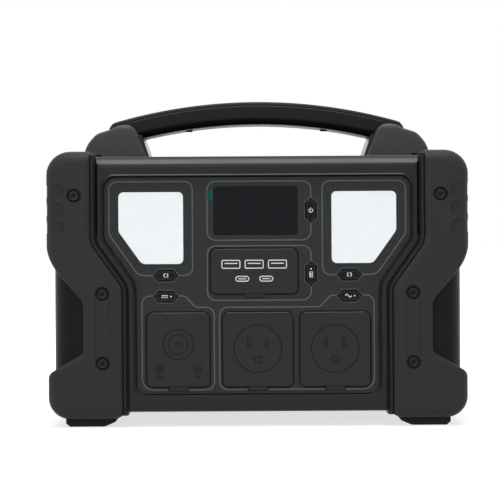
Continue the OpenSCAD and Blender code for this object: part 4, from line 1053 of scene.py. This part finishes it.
def screw_head(x, z, end, sides=48):
    """A low domed head seen from the front (end -1) or the rear (end 1), with a hexagon socket."""
    face = HALF_D - 0.4
    rings = []
    for lift, radius, corners in HEAD_RINGS:
        ring = []
        for a in full_turn(sides):
            turn = (a + math.pi / 6) % (math.pi / 3) - math.pi / 6
            flat = math.cos(math.pi / 6) / math.cos(turn)
            r = radius * (1 + corners * (flat / 0.93 - 1))
            ring.append((x + r * math.cos(a), end * (face + lift), z + r * math.sin(a)))
        rings.append(ring)
    return loft(rings)


heads = [screw_head(side * x, z, end) for side in (-1, 1) for x, z in SCREWS for end in (-1, 1)]
piece("guard_screw_heads", *join(heads), "screw", "screws", "guard_screws", sharp=50)


# ---- handle: grip, cap and mounts
GRIP = low_high("handle_grip")
CAP = low_high("handle_cap")
MOUNT = low_high("handle_mount_right")
GRIP_END = GRIP[1][0] - 1.5
RISE = 16.4
ARCH_R = (GRIP_END ** 2 + RISE ** 2) / (2 * RISE)
ARCH_Z = CAP[1][2] - BASE - ARCH_R
HALF_GRIP = (GRIP[1][1] - GRIP[0][1]) / 2


def sweep_arch(section, end_x, steps=56, squeeze=None, hook=0.0):
    """A section of (radius, y) points swept along the arch; squeeze(x) gives the share of its
    height and width near the ends, which also bend down by the hook."""
    reach = math.asin(end_x / ARCH_R)
    low = min(r for r, _ in section)
    rings = []
    for i in range(steps + 1):
        a = -reach + 2 * reach * i / steps
        d = end_x - abs(ARCH_R * math.sin(a))
        k = squeeze(d) if squeeze else 1.0
        base = low - hook * (1 - min(1, d / 7)) ** 2
        ring = [(base + (r - low) * k, y * (0.85 + 0.15 * k)) for r, y in section]
        rings.append([(r * math.sin(a), y, ARCH_Z + r * math.cos(a)) for r, y in ring])
    return loft(rings)


def rounded_section(r0, r1, half, r_low, r_high, steps=6):
    """The section of the grip as (radius, y) points, with rounded corners."""
    corners = [(-half, r0, r_low), (half, r0, r_low), (half, r1, r_high), (-half, r1, r_high)]
    return [(p.y, p.x) for p in rounded(corners, steps)]


GRIP_THICK, CAP_THICK = 16.8, 2.68
CORE_END, CAP_END, CAP_HOOK = 111, 112.5, 3.0
core = rounded_section(ARCH_R - GRIP_THICK, ARCH_R - 2.75, HALF_GRIP, 6.0, 1.3)
piece("grip_core", *sweep_arch(core, CORE_END), "handle", "handle", "handle_grip")
# the cap takes the lighter finish, which paints the light on the top of the grip
shell = rounded_section(ARCH_R - CAP_THICK, ARCH_R, HALF_GRIP - 1.0, 0.3, 2.1)
shell = sweep_arch(shell, CAP_END, 90, lambda d: math.sqrt(min(1, (d + 0.4) / 5)), CAP_HOOK)
piece("grip_shell", *shell, "grip", "handle_cap", "handle_cap")

PLUG_X = 51
under = ARCH_Z + math.sqrt((ARCH_R - GRIP_THICK) ** 2 - PLUG_X ** 2)
plugs = []
for x in (-PLUG_X, PLUG_X):
    plugs.append(loft([[(px, py, under + z) for px, py in around(x, 0, r, full_turn(32))]
                       for z, r in ((2, 2.8), (-0.5, 2.8), (-0.8, 2.55), (-0.95, 2.0))]))
piece("grip_plugs", *join(plugs), "seal", "handle")

MOUNT_IN, MOUNT_BASE, MOUNT_FOOT = SEAM_UP - 35.9, GUARD_H + 0.3, MOUNT[0][2] - BASE - 4
MOUNT_FORM = [(-2.3, MOUNT_FOOT, 0.5), (49.2, MOUNT_FOOT, 0.5), (49.01, MOUNT_BASE, 1),
              (46.3, MOUNT_BASE + 8, 22), (39.4, MOUNT_BASE + 15.8, 12),
              (29, MOUNT_BASE + 19.0, 5), (22, MOUNT_BASE + 22.3, 10), (12, MOUNT_BASE + 22.1, 9)]
MOUNT_FORM = [(MOUNT_IN + x, z, r) for x, z, r in MOUNT_FORM]
MOUNT_EDGES = [(0.4, 0.4)] * 2 + [(2.0, 2.2)] * 5 + [(2.6, 2.4)]
MOUNT_DEPTHS = [0, 0.05, 0.18, 0.4, 0.7, 1.1, 1.6, 2.2, 3]
form = rolled(edge_offset(MOUNT_FORM, [-SPARE] * 8), MOUNT_EDGES, MOUNT[0][1] - SPARE,
              MOUNT[1][1] + SPARE, MOUNT_DEPTHS, 10)
form = mesh_from("mount_form", *form)
mount_mesh = combined("mount", welded("handle_mount_right"), [form], "INTERSECT")
piece_of("mount_right", mount_mesh, "mount", "handle", "handle_mount_right")
piece_of("mount_left", mirror_mesh(mount_mesh), "mount", "handle", "handle_mount_left")
# dark strips just behind each mount's face along its inner slope: painted shade of the recess
EDGE = [(MOUNT_IN - 0.9, HOUSE_HIGH + 0.3, 0.4), (MOUNT_IN + 8, HOUSE_HIGH + 0.3, 0.4),
        (MOUNT_IN + 12.8, HOUSE_HIGH + 19.5, 1), (MOUNT_IN + 5.8, HOUSE_HIGH + 19.5, 0.6)]
liner = [(0.7, 31.2), (0.2, 31.0), (0, 30.5), (0, -30.5), (0.2, -31.0), (0.7, -31.2)]
recess_shades = [plate(EDGE, liner), plate(mirrored(EDGE), liner)]
piece("mount_recess_shades", *join(recess_shades), "liner", "handle")


# ---- floor, light and camera
def seen(tree):
    """One for rays from the camera, and for those that reach it by a mirror or through glass."""
    path = add(tree, "LightPath").outputs
    direct = calc(tree, "MAXIMUM", path["Is Camera Ray"], path["Is Glossy Ray"])
    return calc(tree, "MAXIMUM", direct, path["Is Transmission Ray"])


white, tree, shader = new_material("pale floor")
away = add(tree, "VectorMath", operation="LENGTH")
tree.links.new(add(tree, "TexCoord").outputs["Object"], away.inputs[0])
spread = add(tree, "MapRange", interpolation_type="SMOOTHSTEP", From_Min=0.26, From_Max=0.75,
             To_Min=0.71, To_Max=1.0)
tree.links.new(away.outputs["Value"], spread.inputs["Value"])
glow = calc(tree, "MULTIPLY", spread.outputs[0], seen(tree))
tree.links.new(glow, shader.inputs["Emission Strength"])
shader.inputs["Emission Color"].default_value = (1, 1, 1, 1)
tone = mixed(tree, seen(tree), (0.82, 0.82, 0.815, 1), (0.42, 0.42, 0.418, 1))
tree.links.new(tone, shader.inputs["Base Color"])
shader.inputs["Roughness"].default_value = 0.9
shader.inputs["Specular IOR Level"].default_value = 0.0
mesh = bpy.data.meshes.new("floor")
mesh.from_pydata([(-30, -20, 0), (30, -20, 0), (30, 90, 0), (-30, 90, 0)], [], [(0, 1, 2, 3)])
mesh.materials.append(white)
floor = put("floor", mesh)

world = bpy.data.worlds.new("studio")
bpy.context.scene.world = world
world.use_nodes = True
tree = world.node_tree
tree.nodes.clear()
out = tree.nodes.new("ShaderNodeOutputWorld")
back = tree.nodes.new("ShaderNodeBackground")
sky = mixed(tree, seen(tree), (0.5, 0.51, 0.52, 1), (1, 1, 1, 1))
tree.links.new(sky, back.inputs[0])
tree.links.new(back.outputs[0], out.inputs[0])


def area(name, place, target, size, power):
    """A rectangular lamp turned towards a target, in metres and watts."""
    data = bpy.data.lights.new(name, "AREA")
    data.shape = "RECTANGLE"
    data.size, data.size_y = size
    data.energy = power
    lamp = put(name, data)
    lamp.location = place
    lamp.rotation_euler = (Vector(target) - Vector(place)).to_track_quat("-Z", "Y").to_euler()


area("top light", (0.0, -0.25, 1.5), (0, 0, 0.1), (0.95, 0.55), 17)
area("front light", (-0.5, -1.9, 1.1), (0, 0, 0.1), (1.4, 1.0), 10)
area("rear light", (0.3, 1.6, 0.9), (0, 0, 0.1), (1.6, 1.0), 9)

camera = bpy.data.cameras.new("camera")
camera.sensor_width = 36
camera.lens = 131.8
view = put("camera", camera)
view.location = (-0.0053, -1.388, 0.1253)
view.rotation_euler = (math.radians(90), math.radians(0.33), 0)
bpy.context.scene.camera = view
bpy.context.scene.view_settings.view_transform = "Standard"
